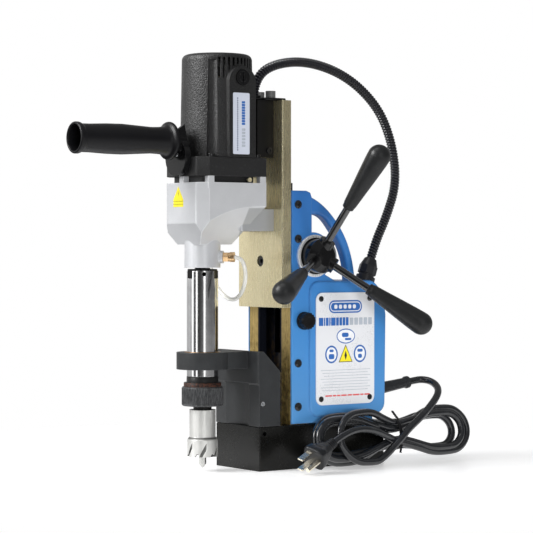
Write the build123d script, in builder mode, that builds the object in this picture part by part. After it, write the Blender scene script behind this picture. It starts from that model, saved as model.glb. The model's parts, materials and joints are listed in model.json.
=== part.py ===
from build123d import *
import os
from math import acos, atan2, cos, degrees, pi, radians, sin, sqrt, tan

# Compact magnetic drilling machine, millimetres.
# The origin is the centre of the magnet's bottom face. +Z is up, the spindle is at -Y,
# and the capstan is on the +X side.

os.makedirs("parts", exist_ok=True)

STAND = (Align.CENTER, Align.CENTER, Align.MIN)
SIDES = (-1, 1)

# ---- driving dimensions ------------------------------------------------------------------
base_width = 80.0
base_length = 165.0
base_height = 46.0
half_width = base_width / 2
base_front = -base_length / 2

spindle_y = -126.6  # spindle axis, 44 mm ahead of the magnet
motor_y = -108.5  # motor axis, behind the spindle's
sleeve_radius = 16.3
seam = 0.25  # visible seam between parts that stand on each other

column_half = 37.3
column_front = -41.0
column_back = -17.0
column_top = 288.5
groove_depth = 13.0
groove_mouth = 21.4  # half width of the dovetail groove at its mouth
groove_floor = 26.0  # and at its floor
gib_thickness = 2.0
slide_play = 0.1

plate_front = -53.3
plate_back = -41.5
plate_bottom = 169.0
plate_top = 385.5

capstan_y = -12.5
capstan_z = 223.0
feed_module = 1.75
pinion_teeth = 16
pinion_radius = feed_module * pinion_teeth / 2
rack_line = capstan_y - pinion_radius  # the rack's pitch line
shaft_radius = 7.0
bush_radius = 9.0

block_half = 37.5  # gearbox, flange: half width
block_front = -153.0
block_back = -72.0
block_chamfer = 10.0
gearbox_floor = 235.0
gearbox_top = 298.5
flange_bottom = 305.0
flange_top = 324.4
motor_top = 432.0

wall = 2.5  # housing shell
pod_half = 42.5  # raised pod of the housing
pod_corner = 12.0
spoke_tilt = 35.0
spoke_angles = (78.0, -42.0, -160.0)
spoke_centre_x = 49.0

pressure_angle = 25.0
stage_one = (10, 27, 1.0)  # motor pinion teeth, large gear teeth, module
stage_two = (10, 18, 1.25)  # small gear teeth, spindle gear teeth, module


# ---- helpers -----------------------------------------------------------------------------
def save(piece, label):
    """Label a finished piece and write its STEP."""
    piece.part.label = label
    export_step(piece.part, "parts/" + label + ".step")


def rod(start, direction, radius, length, mode=Mode.ADD):
    """Cylinder from start along direction, in the open part."""
    with Locations(Plane(origin=start, z_dir=direction)):
        Cylinder(radius, length, align=STAND, mode=mode)


def cone(start, direction, radius, end_radius, length, mode=Mode.ADD):
    """Truncated cone from start along direction, in the open part."""
    with Locations(Plane(origin=start, z_dir=direction)):
        Cone(radius, end_radius, length, align=STAND, mode=mode)


def block(low, high, mode=Mode.ADD):
    """Box between two opposite corners, in the open part."""
    size = [b - a for a, b in zip(low, high)]
    with Locations(Plane(origin=low)):
        Box(*size, align=(Align.MIN, Align.MIN, Align.MIN), mode=mode)


def along(point, direction, distance):
    """The point at a distance from point along direction."""
    return Vector(*point) + Vector(*direction).normalized() * distance


def socket_screw(seat, direction, head_radius, head_height, shank_radius, shank_length):
    """Socket head screw whose head stands on seat, with its hexagon socket."""
    rod(seat, direction, head_radius, head_height)
    rod(along(seat, direction, -shank_length), direction, shank_radius, shank_length)
    with BuildSketch(Plane(origin=along(seat, direction, head_height), z_dir=direction)) as socket:
        RegularPolygon(head_radius * 0.5, 6)
    extrude(socket.sketch, amount=-head_height * 0.6, mode=Mode.SUBTRACT)


def gear(plane, teeth, module, start_angle, width, thinning=0.12):
    """Spur gear with involute flanks, in the open part; one tooth points at start_angle."""
    pitch = module * teeth / 2
    base = pitch * cos(radians(pressure_angle))
    tip = pitch + 0.8 * module
    root = pitch - 1.1 * module
    half_tooth = (pi / 2 - thinning) / teeth
    pitch_roll = tan(radians(pressure_angle)) - radians(pressure_angle)
    flank = []
    for step in range(5):
        radius = max(base, root) + (tip - max(base, root)) * step / 4
        roll = acos(min(1.0, base / radius))
        flank.append((radius, half_tooth + pitch_roll - (tan(roll) - roll)))
    if root < base - 0.01:
        flank.insert(0, (root, flank[0][1]))
    points = []
    for tooth in range(teeth):
        middle = radians(start_angle) + 2 * pi * tooth / teeth
        for radius, angle in flank:
            points.append((radius * cos(middle - angle), radius * sin(middle - angle)))
        for radius, angle in reversed(flank):
            points.append((radius * cos(middle + angle), radius * sin(middle + angle)))
    with BuildSketch(plane) as outline:
        with BuildLine():
            Polyline(*points, close=True)
        make_face()
    extrude(outline.sketch, amount=width)


def corner_radii(points):
    """Arc radius at each corner of a lead's route: as large as its two runs allow."""
    radii = []
    for before, here, after in zip(points, points[1:], points[2:]):
        arriving = Vector(*here) - Vector(*before)
        leaving = Vector(*after) - Vector(*here)
        half_turn = radians(arriving.get_angle(leaving)) / 2
        radii.append(0.45 * min(arriving.length, leaving.length) / tan(half_turn))
    return radii


def lead(label, points, diameter):
    """Tube of a lead along straight runs and tangent arcs."""
    with BuildPart() as tube:
        with BuildLine() as route:
            FilletPolyline(*points, radius=corner_radii(points))
        start = Plane(origin=route.line @ 0, z_dir=route.line % 0)
        with BuildSketch(start) as section:
            Circle(diameter / 2)
        sweep(section.sketch, path=route.line)
    save(tube, label)


# ---- magnet base -------------------------------------------------------------------------
groove_outer = (54.0, 138.0)
groove_inner = (28.0, 112.0)
bolt_radius = 3.0
bolt_head_radius = 5.0
bolt_head_height = 6.0
bolt_seat = bolt_head_height + 1.5
support_bolts = [(x, -76.3) for x in (-22.0, 22.0)]
column_bolts = [(x, -34.0) for x in (-33.0, 33.0)]
side_screw_spot = (half_width, -76.0, 38.8)

with BuildPart() as magnet_body:
    Box(base_width, base_length, base_height, align=STAND)
    chamfer(magnet_body.edges().filter_by(Axis.Z), 0.8)
    chamfer(magnet_body.faces().sort_by(Axis.Z)[-1].edges(), 0.8)
    # annular groove for the winding, open at the bottom
    with BuildSketch(Plane.XY) as groove:
        Rectangle(*groove_outer)
        Rectangle(*groove_inner, mode=Mode.SUBTRACT)
    extrude(groove.sketch, amount=34, mode=Mode.SUBTRACT)
    for x, y in support_bolts + column_bolts:
        rod((x, y, 0), (0, 0, 1), bolt_radius + 0.3, base_height, Mode.SUBTRACT)
        rod((x, y, 0), (0, 0, 1), bolt_head_radius + 0.4, bolt_seat, Mode.SUBTRACT)
    # cable way from the groove up into the housing
    rod((20, 40, 30), (0, 0, 1), 3, base_height - 30, Mode.SUBTRACT)
    rod(along(side_screw_spot, (1, 0, 0), -9), (1, 0, 0), 2.6, 9, Mode.SUBTRACT)
save(magnet_body, "magnet_body")

with BuildPart() as magnet_coil:
    with BuildSketch(Plane.XY.offset(8)) as winding:
        RectangleRounded(groove_outer[0] - 1.4, groove_outer[1] - 1.4, 3)
        Rectangle(groove_inner[0] + 1.4, groove_inner[1] + 1.4, mode=Mode.SUBTRACT)
    extrude(winding.sketch, amount=24)
save(magnet_coil, "magnet_coil")

with BuildPart() as coil_potting:
    with BuildSketch(Plane.XY.offset(0.6)) as seal:
        Rectangle(groove_outer[0] - 0.1, groove_outer[1] - 0.1)
        Rectangle(groove_inner[0] + 0.1, groove_inner[1] + 0.1, mode=Mode.SUBTRACT)
    extrude(seal.sketch, amount=7)
    for x, y in column_bolts:
        rod((x, y, 0), (0, 0, 1), bolt_head_radius + 0.6, 9, Mode.SUBTRACT)
save(coil_potting, "coil_potting")

with BuildPart() as base_bolts:
    for x, y in support_bolts + column_bolts:
        socket_screw((x, y, bolt_seat), (0, 0, -1), bolt_head_radius, bolt_head_height, bolt_radius, 50)
save(base_bolts, "base_bolts")

# ---- arbor support -----------------------------------------------------------------------
support_top = 124.0
band_bottom = 91.0
band_front = -84.0
ring_radius = 27.0
ring_low = 106.0
ring_high = 123.6
bush_outer = 19.0
guard_screw_z = 70.0
guard_screw_y = -78.0

with BuildPart() as arbor_support:
    with BuildSketch(Plane.YZ.offset(-half_width)) as side_view:
        with BuildLine():
            Polyline(
                (base_front, base_height + seam),
                (-56, base_height + seam),
                (-56, 103),
                (-77, support_top),
                (band_front, support_top),
                (band_front, band_bottom),
                (base_front, band_bottom - 1.5),
                close=True,
            )
        make_face()
    extrude(side_view.sketch, amount=base_width)
    chamfer(arbor_support.edges().filter_by(Axis.Z).group_by(Axis.Y)[0], 1.0)
    # round clearance in the front face, for the cutter and its chips
    rod((0, spindle_y, base_height), (0, 0, 1), 49, band_bottom - base_height, Mode.SUBTRACT)
    # web and ring around the sleeve
    block((-20, spindle_y, ring_low), (20, band_front + 2, ring_high))
    rod((0, spindle_y, ring_low), (0, 0, 1), ring_radius, ring_high - ring_low)
    ring_rims = arbor_support.edges().filter_by(GeomType.CIRCLE).group_by(SortBy.RADIUS)[-1]
    chamfer(ring_rims.sort_by(Axis.Y)[:1], 0.6)
    rod((0, spindle_y, ring_low - 1), (0, 0, 1), bush_outer, ring_high - ring_low + 2, Mode.SUBTRACT)
    for side in SIDES:
        rod((side * half_width, guard_screw_y, guard_screw_z), (-side, 0, 0), 2.5, 9, Mode.SUBTRACT)
    for x, y in support_bolts:
        rod((x, y, base_height), (0, 0, 1), bolt_radius, 13, Mode.SUBTRACT)
save(arbor_support, "arbor_support")

with BuildPart() as support_bush:
    rod((0, spindle_y, ring_low - 0.4), (0, 0, 1), bush_outer, ring_high - ring_low + 0.8)
    rod((0, spindle_y, ring_low - 2), (0, 0, 1), sleeve_radius + 0.08, 22, Mode.SUBTRACT)
save(support_bush, "support_bush")

with BuildPart() as side_screws:
    for side in SIDES:
        head = (side * (half_width - 0.3), guard_screw_y, guard_screw_z)
        socket_screw(along(head, (-side, 0, 0), 2.2), (side, 0, 0), 2.45, 2.6, 1.8, 6)
    socket_screw(along(side_screw_spot, (1, 0, 0), -4.5), (1, 0, 0), 2.5, 3.5, 2, 4)
save(side_screws, "side_screws")

# ---- column and its dovetail groove --------------------------------------------------------
groove_floor_y = column_front + groove_depth
rack_slot_half = 8.5
cavity_radius = 17.6
cavity_half = 10.0
cover_screw_z = (65.0, 110.6, 241.0, 277.0)
cover_screw_y = -33.0
gib_screw_z = (90.0, 150.0, 215.0, 259.0)
gib_screw_y = -30.5


def dovetail(mouth, floor, low, high, front, back):
    """Dovetail prism between two heights: mouth and floor are its half widths."""
    with BuildSketch(Plane.XY.offset(low)) as section:
        with BuildLine():
            Polyline((-mouth, front), (mouth, front), (floor, back), (-floor, back), close=True)
        make_face()
    return extrude(section.sketch, amount=high - low, mode=Mode.PRIVATE)


with BuildPart() as column:
    block((-column_half, column_front, base_height + 0.4), (column_half, column_back, column_top))
    chamfer(column.edges().filter_by(Axis.Z).group_by(Axis.Y)[0], 0.8)
    # boss that carries the pinion shaft
    rod((-column_half, capstan_y, capstan_z), (1, 0, 0), 21, 2 * column_half)
    slope = (groove_floor - groove_mouth) / groove_depth
    add(
        dovetail(
            groove_mouth - slope,
            groove_floor,
            base_height,
            column_top,
            column_front - 1,
            groove_floor_y,
        ),
        mode=Mode.SUBTRACT,
    )
    block((-rack_slot_half, groove_floor_y - 1, 120), (rack_slot_half, -21.5, column_top), Mode.SUBTRACT)
    rod((-cavity_half, capstan_y, capstan_z), (1, 0, 0), cavity_radius, 2 * cavity_half, Mode.SUBTRACT)
    rod((-column_half, capstan_y, capstan_z), (1, 0, 0), bush_radius, 2 * column_half, Mode.SUBTRACT)
    for x, y in column_bolts:
        rod((x, y, base_height), (0, 0, 1), bolt_radius, 13, Mode.SUBTRACT)
    for side in SIDES:
        for z in cover_screw_z:
            rod((side * column_half, cover_screw_y, z), (-side, 0, 0), 2, 9, Mode.SUBTRACT)
        for z in gib_screw_z:
            rod((side * (column_half + 1), gib_screw_y, z), (-side, 0, 0), 2.0, 15, Mode.SUBTRACT)
save(column, "column")

slide_low = 172.0
slide_high = 300.0
gib_low = 60.0
gib_high = column_top - 1

with BuildPart() as gib_strips:
    for side in SIDES:
        with BuildSketch(Plane.XY.offset(gib_low)) as strip:
            inner_mouth = groove_mouth - gib_thickness
            inner_floor = groove_floor - gib_thickness
            lean = (groove_floor - groove_mouth) / groove_depth
            near = column_front + 0.3
            far = groove_floor_y - 0.1
            with BuildLine():
                Polyline(
                    (side * (inner_mouth + lean * 0.3), near),
                    (side * (groove_mouth + lean * 0.3 - 0.02), near),
                    (side * (groove_floor - lean * 0.1 - 0.02), far),
                    (side * (inner_floor - lean * 0.1), far),
                    close=True,
                )
            make_face()
        extrude(strip.sketch, amount=gib_high - gib_low)
save(gib_strips, "gib_strips")

with BuildPart() as gib_screws:
    for side in SIDES:
        for z in gib_screw_z:
            end = (side * (column_half - 0.4), gib_screw_y, z)
            rod(end, (-side, 0, 0), 1.95, 11)
            with BuildSketch(Plane(origin=end, z_dir=(side, 0, 0))) as socket:
                RegularPolygon(1.1, 6)
            extrude(socket.sketch, amount=-2, mode=Mode.SUBTRACT)
save(gib_screws, "gib_screws")

with BuildPart() as pinion_bushes:
    for side in SIDES:
        rod(
            (side * (cavity_half + 2), capstan_y, capstan_z),
            (side, 0, 0),
            bush_radius,
            column_half - cavity_half - 2,
        )
        rod(
            (side * cavity_half, capstan_y, capstan_z),
            (side, 0, 0),
            shaft_radius + 0.05,
            column_half,
            Mode.SUBTRACT,
        )
save(pinion_bushes, "pinion_bushes")

# ---- carriage ----------------------------------------------------------------------------
mount_screw_z = (217.6, 300.0)
rack_low = 196.0
rack_high = 300.0
rack_front = -36.0
rack_back = rack_line - 1.1 * feed_module  # roots of the rack's teeth
rack_half = 7.0

with BuildPart() as carriage_plate:
    block((-half_width, plate_front, plate_bottom), (half_width, plate_back, plate_top))
    chamfer(carriage_plate.edges().filter_by(Axis.Z), 0.8)
    for z in mount_screw_z:
        rod((0, plate_front - 1, z), (0, 1, 0), 5.9, 8.5, Mode.SUBTRACT)
        rod((0, plate_front, z), (0, 1, 0), 3.3, 13, Mode.SUBTRACT)
    for x in (-10, 10):
        rod((x, -47, plate_top), (0, 0, -1), 3, 16, Mode.SUBTRACT)
save(carriage_plate, "carriage_plate")

slide_mouth = groove_mouth - gib_thickness - slide_play
slide_floor = groove_floor - gib_thickness - slide_play
with BuildPart() as carriage_slide:
    lean = (groove_floor - groove_mouth) / groove_depth
    slide_back = groove_floor_y - 0.3
    add(
        dovetail(
            slide_mouth - lean * 0.5,
            slide_floor - lean * 0.3,
            slide_low,
            slide_high,
            plate_back,
            slide_back,
        )
    )
    slot_half = rack_half + 0.1
    block((-slot_half, rack_front, rack_low - 0.2), (slot_half, slide_back + 1, slide_high), Mode.SUBTRACT)
    rod((0, plate_back, mount_screw_z[0]), (0, 1, 0), 3.0, 5, Mode.SUBTRACT)
save(carriage_slide, "carriage_slide")

with BuildPart() as feed_rack:
    pitch = pi * feed_module
    addendum = 0.8 * feed_module
    dedendum = 1.1 * feed_module
    spread = tan(radians(pressure_angle))
    half_tooth = pitch / 4 - 0.1
    first = int((rack_low - capstan_z) / pitch)
    last = int((rack_high - capstan_z) / pitch)
    # a gap stands level with the pinion's axis
    outline = [
        (rack_back, rack_high),
        (rack_front, rack_high),
        (rack_front, rack_low),
        (rack_back, rack_low),
    ]
    for number in range(first, last):
        middle = capstan_z + (number + 0.5) * pitch
        outline += [
            (rack_back, middle - half_tooth - dedendum * spread),
            (rack_line + addendum, middle - half_tooth + addendum * spread),
            (rack_line + addendum, middle + half_tooth - addendum * spread),
            (rack_back, middle + half_tooth + dedendum * spread),
        ]
    with BuildSketch(Plane.YZ.offset(-rack_half)) as profile:
        with BuildLine():
            Polyline(*outline, close=True)
        make_face()
    extrude(profile.sketch, amount=2 * rack_half)
save(feed_rack, "feed_rack")

# ---- motor bracket and top cap -----------------------------------------------------------
bracket_half = 24.5
cap_low = 385.5
cap_high = 388.0
conduit_top = (0.0, -62.0)

with BuildPart() as motor_bracket:
    block((-bracket_half, block_back - 2, 326), (bracket_half, plate_front, cap_low))
    # cradle that fits the round motor
    rod((0, motor_y, 320), (0, 0, 1), 38.9, 80, Mode.SUBTRACT)
    chamfer(motor_bracket.edges().filter_by(Axis.Z).group_by(Axis.Y)[-1], 0.5)
    rod((conduit_top[0], conduit_top[1], cap_low), (0, 0, -1), 4.5, 30, Mode.SUBTRACT)
    for side in SIDES:
        rod((side * bracket_half, -60, 333), (-side, 0, 0), 2.0, 6, Mode.SUBTRACT)
save(motor_bracket, "motor_bracket")

with BuildPart() as top_cap:
    block((-33, -69, cap_low), (33, -44, cap_high))
    chamfer(top_cap.faces().sort_by(Axis.Z)[-1].edges(), 0.6)
    rod((conduit_top[0], conduit_top[1], cap_high - 0.1), (0, 0, 1), 8, 4)
    rod((conduit_top[0], conduit_top[1], cap_low), (0, 0, 1), 5.35, 8, Mode.SUBTRACT)
    for x in (-10, 10):
        rod((x, -47, cap_low - 1), (0, 0, 1), 3.2, 5, Mode.SUBTRACT)
save(top_cap, "top_cap")

with BuildPart() as carriage_screws:
    for x in (-10, 10):
        socket_screw((x, -47, cap_high), (0, 0, 1), 5.3, 8.8, 2.95, 14)
    for z in mount_screw_z:
        socket_screw((0, plate_front + 7.5, z), (0, -1, 0), 5.3, 6.0, 2.95, 3.9)
save(carriage_screws, "carriage_screws")


# ---- gearbox, flange and motor -----------------------------------------------------------
def octagon(inset, low, high):
    """Block with chamfered front corners, shared by the gearbox and the motor flange."""
    with BuildSketch(Plane.XY.offset(low)) as plan:
        half = block_half - inset
        front = block_front + inset
        cut = block_chamfer - inset * 0.4
        with BuildLine():
            Polyline(
                (-half, block_back - inset),
                (-half, front + cut),
                (-half + cut, front),
                (half - cut, front),
                (half, front + cut),
                (half, block_back - inset),
                close=True,
            )
        make_face()
    return extrude(plan.sketch, amount=high - low, mode=Mode.PRIVATE)


# flare of the gearbox's sides: the line where it leaves the upright wall, as (Y, Z)
flare_line = [(-170, 244), (-143, 258.6), (-128, 265.5), (-110, 271), (-92, 273.6), (-60, 275)]
flare_run = (-16.5, 0, -23.6)  # and the way it falls in from there, on the +X side


def gearbox_shape(inset):
    """Octagonal block whose lower part narrows on all sides down to the spindle's neck."""
    floor = gearbox_floor + inset
    high = gearbox_top + (1 if inset else 0)
    with BuildPart() as shape:
        add(octagon(inset, floor, high))
        for a, b, c in (
            ((0, -153, 256.5), (30, -153, 256.5), (0, -143.5, gearbox_floor)),
            ((0, -72, 274.5), (-30, -72, 274.5), (0, -97.6, gearbox_floor)),
        ):
            normal = (Vector(*b) - Vector(*a)).cross(Vector(*c) - Vector(*a)).normalized()
            outward = normal if normal.Z < 0 else -normal
            split(
                bisect_by=Plane(origin=Vector(*a) - outward * inset, z_dir=outward),
                keep=Keep.BOTTOM,
            )
        run = Vector(*flare_run).normalized()
        for side in SIDES:
            # hollow side faces: the space under the flare line, swept down and in
            across = Vector(side * run.X, 0, run.Z)
            start = Vector(side * (block_half + run.Z * inset), 0, -run.X * inset) - across * 6
            plane = Plane(origin=start, x_dir=(0, 1, 0), z_dir=(1, 0, 0))
            with BuildSketch(plane) as under:
                with BuildLine():
                    Spline(*flare_line)
                    Polyline(flare_line[-1], (-60, 190), (-170, 190), flare_line[0])
                make_face()
            extrude(under.sketch, amount=70, dir=across, mode=Mode.SUBTRACT)
    return shape.part


neck_radius = 18.7
neck_low = 211.0
idler_x = 15.534
idler_y = -118.54
idler_low = 248.5  # lower end of the idler's shaft
coarse_low = 255.5  # gears of the second stage
fine_low = 266.5  # gears of the first stage
vent_posts = [(0.5, -149.5), (34, -140.5), (-34, -132), (-34, -76), (34, -76)]
flange_screws = [(-30, -136), (30, -136), (-31, -79), (31, -79)]

with BuildPart() as gearbox_housing:
    add(gearbox_shape(0))
    fillet(gearbox_housing.edges().filter_by(Axis.Z).group_by(Axis.Y)[0], 4)
    # mounting foot that reaches the carriage plate
    block((-25, -95, 249), (25, plate_front, 272))
    rod((0, spindle_y, neck_low), (0, 0, 1), neck_radius, 40)
    for side in SIDES:
        # pads for the coolant fittings
        rod((0, spindle_y, 222), (side, 1, 0), 6.5, 22)
    add(gearbox_shape(3.2), mode=Mode.SUBTRACT)
    for side in SIDES:
        rod((0, spindle_y, 222), (side, 1, 0), 3, 30, Mode.SUBTRACT)
    # floor boss of the idler's lower bearing, which runs into the flared wall
    boss_low = Location((idler_x, idler_y, gearbox_floor))
    add(Solid.make_cylinder(6.5, idler_low + 5 - gearbox_floor).locate(boss_low) & gearbox_shape(0))
    rod((idler_x, idler_y, idler_low - 0.3), (0, 0, 1), 3.05, 8, Mode.SUBTRACT)
    rod((0, spindle_y, neck_low - 1), (0, 0, 1), 13, 36.5, Mode.SUBTRACT)
    # posts of the vent gap, under the motor flange
    for x, y in vent_posts:
        block((x - 3.5, y - 3.5, gearbox_top - 6), (x + 3.5, y + 3.5, flange_bottom))
save(gearbox_housing, "gearbox_housing")

with BuildPart() as motor_flange:
    add(octagon(0, flange_bottom, flange_top))
    fillet(motor_flange.edges().filter_by(Axis.Z).group_by(Axis.Y)[0], 4)
    # spigot that centres it in the gearbox, set back behind the posts
    with BuildSketch(Plane.XY.offset(gearbox_top - 8)) as spigot:
        with Locations((0, (block_front + block_back) / 2)):
            RectangleRounded(2 * block_half - 15, block_back - block_front - 15, 8)
    extrude(spigot.sketch, amount=flange_bottom - gearbox_top + 8)
    rod((0, motor_y, gearbox_top - 10), (0, 0, 1), 6.0, 60, Mode.SUBTRACT)
    rod((0, motor_y, flange_top - 12), (0, 0, 1), 11.05, 14, Mode.SUBTRACT)
    rod((idler_x, idler_y, gearbox_top - 10), (0, 0, 1), 3.05, 9, Mode.SUBTRACT)
    for x, y in flange_screws:
        rod((x, y, flange_top), (0, 0, -1), 2.0, 12, Mode.SUBTRACT)
save(motor_flange, "motor_flange")

label_y = (-116.2, -95.6)
label_z = (327.5, 390.5)
brush_y = -104.0
brush_z = 406.3
side_pad = 40.6
pad_round = 16.5
slot_first = -30.0  # cooling slots, in degrees from +X
slot_step = 8.0
slot_count = 31
slot_length = 21.0

with BuildPart() as motor_housing:
    cone((0, motor_y, flange_top + seam), (0, 0, 1), 38.4, 36.4, motor_top - flange_top - seam)
    fillet(motor_housing.faces().sort_by(Axis.Z)[-1].edges(), 6)
    for side in SIDES:
        # flat pad for the label and the brush holder, round at its top
        with BuildSketch(Plane.YZ.offset(side * 20)) as pad:
            with Locations((brush_y, (flange_top + 402) / 2)):
                Rectangle(2 * pad_round, 402 - flange_top - 0.6)
            with Locations((brush_y, 401.5)):
                Circle(pad_round)
        extrude(pad.sketch, amount=side * (side_pad - 20))
    # upright flute in the front right of the shell
    for side in SIDES:
        rod((side * 31.5, motor_y - 27.5, flange_top), (0, 0, 1), 7, 100, Mode.SUBTRACT)
    cone((0, motor_y, flange_top - 1), (0, 0, 1), 34.6, 33.0, 100, Mode.SUBTRACT)
    for side in SIDES:
        rod((side * 25, brush_y, brush_z), (side, 0, 0), 8.2, 20, Mode.SUBTRACT)
    # cooling slots around the top; those over a pad stop above it
    for number in range(slot_count):
        angle = radians(slot_first + number * slot_step)
        high = motor_top - 5
        beside = abs(motor_y + 36.5 * sin(angle) - brush_y)
        over_pad = beside < pad_round and abs(cos(angle)) > 0.5
        low = 401.5 + sqrt(pad_round**2 - beside**2) + 2.5 if over_pad else high - slot_length
        direction = (cos(angle), sin(angle), 0)
        middle = along((0, motor_y, (high + low) / 2), direction, 36)
        with Locations(Plane(origin=middle, x_dir=direction, z_dir=(0, 0, 1))):
            Box(14, 2.5, high - low, mode=Mode.SUBTRACT)
save(motor_housing, "motor_housing")

with BuildPart() as stator:
    rod((0, motor_y, 340), (0, 0, 1), 31.5, 42)
    rod((0, motor_y, 338), (0, 0, 1), 19.5, 50, Mode.SUBTRACT)
    for side in SIDES:
        rod((side * 24.5, motor_y, 336), (0, 0, 1), 4.5, 50)
save(stator, "stator")

with BuildPart() as brush_caps:
    for side in SIDES:
        rod((side * 31, brush_y, brush_z), (side, 0, 0), 8, side_pad - 30)
        rod((side * (side_pad + 0.9), brush_y, brush_z), (-side, 0, 0), 6.3, 1.2, Mode.SUBTRACT)
        rod((side * (side_pad + 1.2), brush_y, brush_z), (-side, 0, 0), 4.6, 3)
        block(
            (min(side * 39.5, side * 43), brush_y - 0.7, brush_z - 5),
            (max(side * 39.5, side * 43), brush_y + 0.7, brush_z + 5),
            Mode.SUBTRACT,
        )
save(brush_caps, "brush_caps")

with BuildPart() as motor_label:
    with BuildSketch(Plane.YZ.offset(side_pad)) as tag:
        with Locations((sum(label_y) / 2, sum(label_z) / 2)):
            RectangleRounded(label_y[1] - label_y[0], label_z[1] - label_z[0], 1.5)
    extrude(tag.sketch, amount=0.4)
save(motor_label, "motor_label")

with BuildPart() as motor_screws:
    for x, y in flange_screws:
        socket_screw((x, y, flange_top + 0.3), (0, 0, 1), 3.6, 3.4, 1.95, 11)
    for side in SIDES:
        socket_screw((side * bracket_half, -60, 333), (side, 0, 0), 3.2, 2.6, 1.95, 5.5)
save(motor_screws, "motor_screws")

# ---- turning parts -----------------------------------------------------------------------
pinion_count, large_count, fine_module = stage_one
small_count, output_count, coarse_module = stage_two
to_motor = degrees(atan2(motor_y - idler_y, -idler_x))
to_spindle = degrees(atan2(spindle_y - idler_y, -idler_x))

with BuildPart() as armature:
    rod((0, motor_y, fine_low - 0.5), (0, 0, 1), 4.0, 410.5 - fine_low)
    rod((0, motor_y, 342), (0, 0, 1), 18.8, 38)
    rod((0, motor_y, 386), (0, 0, 1), 11, 16)
    rod((0, motor_y, 326), (0, 0, 1), 29, 2)
    for number in range(12):
        angle = radians(number * 30)
        middle = along((0, motor_y, 331), (cos(angle), sin(angle), 0), 20)
        with Locations(Plane(origin=middle, x_dir=(cos(angle), sin(angle), 0), z_dir=(0, 0, 1))):
            Box(17, 1.2, 7)
    gear(
        Plane(origin=(0, motor_y, fine_low - 0.5)),
        pinion_count,
        fine_module,
        to_motor + 180,
        11,
    )
save(armature, "armature")

with BuildPart() as intermediate_gear:
    rod((idler_x, idler_y, idler_low), (0, 0, 1), 3.0, 296 - idler_low)
    gear(
        Plane(origin=(idler_x, idler_y, fine_low)),
        large_count,
        fine_module,
        to_motor + 180 / large_count,
        9,
    )
    gear(Plane(origin=(idler_x, idler_y, coarse_low)), small_count, coarse_module, to_spindle, 9)
save(intermediate_gear, "intermediate_gear")

sleeve_low = 98.7
sleeve_high = 209.6
shoulder_z = 207.8
notch_height = 8.0
with BuildPart() as spindle:
    rod((0, spindle_y, sleeve_low), (0, 0, 1), sleeve_radius, shoulder_z - sleeve_low)
    rod((0, spindle_y, shoulder_z), (0, 0, 1), sleeve_radius - 0.9, sleeve_high - shoulder_z)
    rod((0, spindle_y, sleeve_high - 1), (0, 0, 1), 8, coarse_low + 9.7 - sleeve_high)
    gear(
        Plane(origin=(0, spindle_y, coarse_low + 0.3)),
        output_count,
        coarse_module,
        to_spindle + 180 + 180 / output_count,
        8.4,
    )
    # three driving notches and the coolant hole near the top, bore for the cutter at the bottom
    for number in range(3):
        angle = radians(120 * number - 90)
        direction = (cos(angle), sin(angle), 0)
        middle = along((0, spindle_y, shoulder_z - notch_height / 2), direction, sleeve_radius)
        with Locations(Plane(origin=middle, x_dir=direction, z_dir=(0, 0, 1))):
            Box(2.2, 9, notch_height, mode=Mode.SUBTRACT)
    hole_angle = radians(-28)
    rod((0, spindle_y, 204.4), (cos(hole_angle), sin(hole_angle), 0), 2.2, 20, Mode.SUBTRACT)
    rod((0, spindle_y, sleeve_low - 1), (0, 0, 1), 9.6, 45, Mode.SUBTRACT)
save(spindle, "spindle")

with BuildPart() as bearings:
    for low, inner, outer, height in ((213, 8.05, 12.95, 9), (236, 8.05, 12.95, 10)):
        rod((0, spindle_y, low), (0, 0, 1), outer, height)
        rod((0, spindle_y, low - 1), (0, 0, 1), inner, height + 2, Mode.SUBTRACT)
    rod((0, motor_y, flange_top - 11.5), (0, 0, 1), 11, 7)
    rod((0, motor_y, flange_top - 13), (0, 0, 1), 4.05, 12, Mode.SUBTRACT)
save(bearings, "bearings")

# ---- cutter end --------------------------------------------------------------------------
collar_low = 68.0
collar_high = 88.0
cutter_low = 15.5
cutter_step = 36.0
cutter_top = 64.0

with BuildPart() as cutter_collar:
    rod((0, spindle_y, collar_low), (0, 0, 1), 21.2, collar_high - collar_low)
    chamfer(cutter_collar.edges(), 1.0)
    # knurled band: fine upright ridges
    for number in range(40):
        angle = 2 * pi * number / 40
        rod(
            (21.0 * cos(angle), spindle_y + 21.0 * sin(angle), collar_low + 2.5),
            (0, 0, 1),
            0.75,
            collar_high - collar_low - 5,
        )
    rod((0, spindle_y, collar_high - 0.5), (0, 0, 1), 19.5, 5)
    rod((0, spindle_y, 92.4), (0, 0, 1), 15.7, sleeve_low - 92.4)
    rod((0, spindle_y, collar_low - 1), (0, 0, 1), 9.6, 40, Mode.SUBTRACT)
save(cutter_collar, "cutter_collar")

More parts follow.
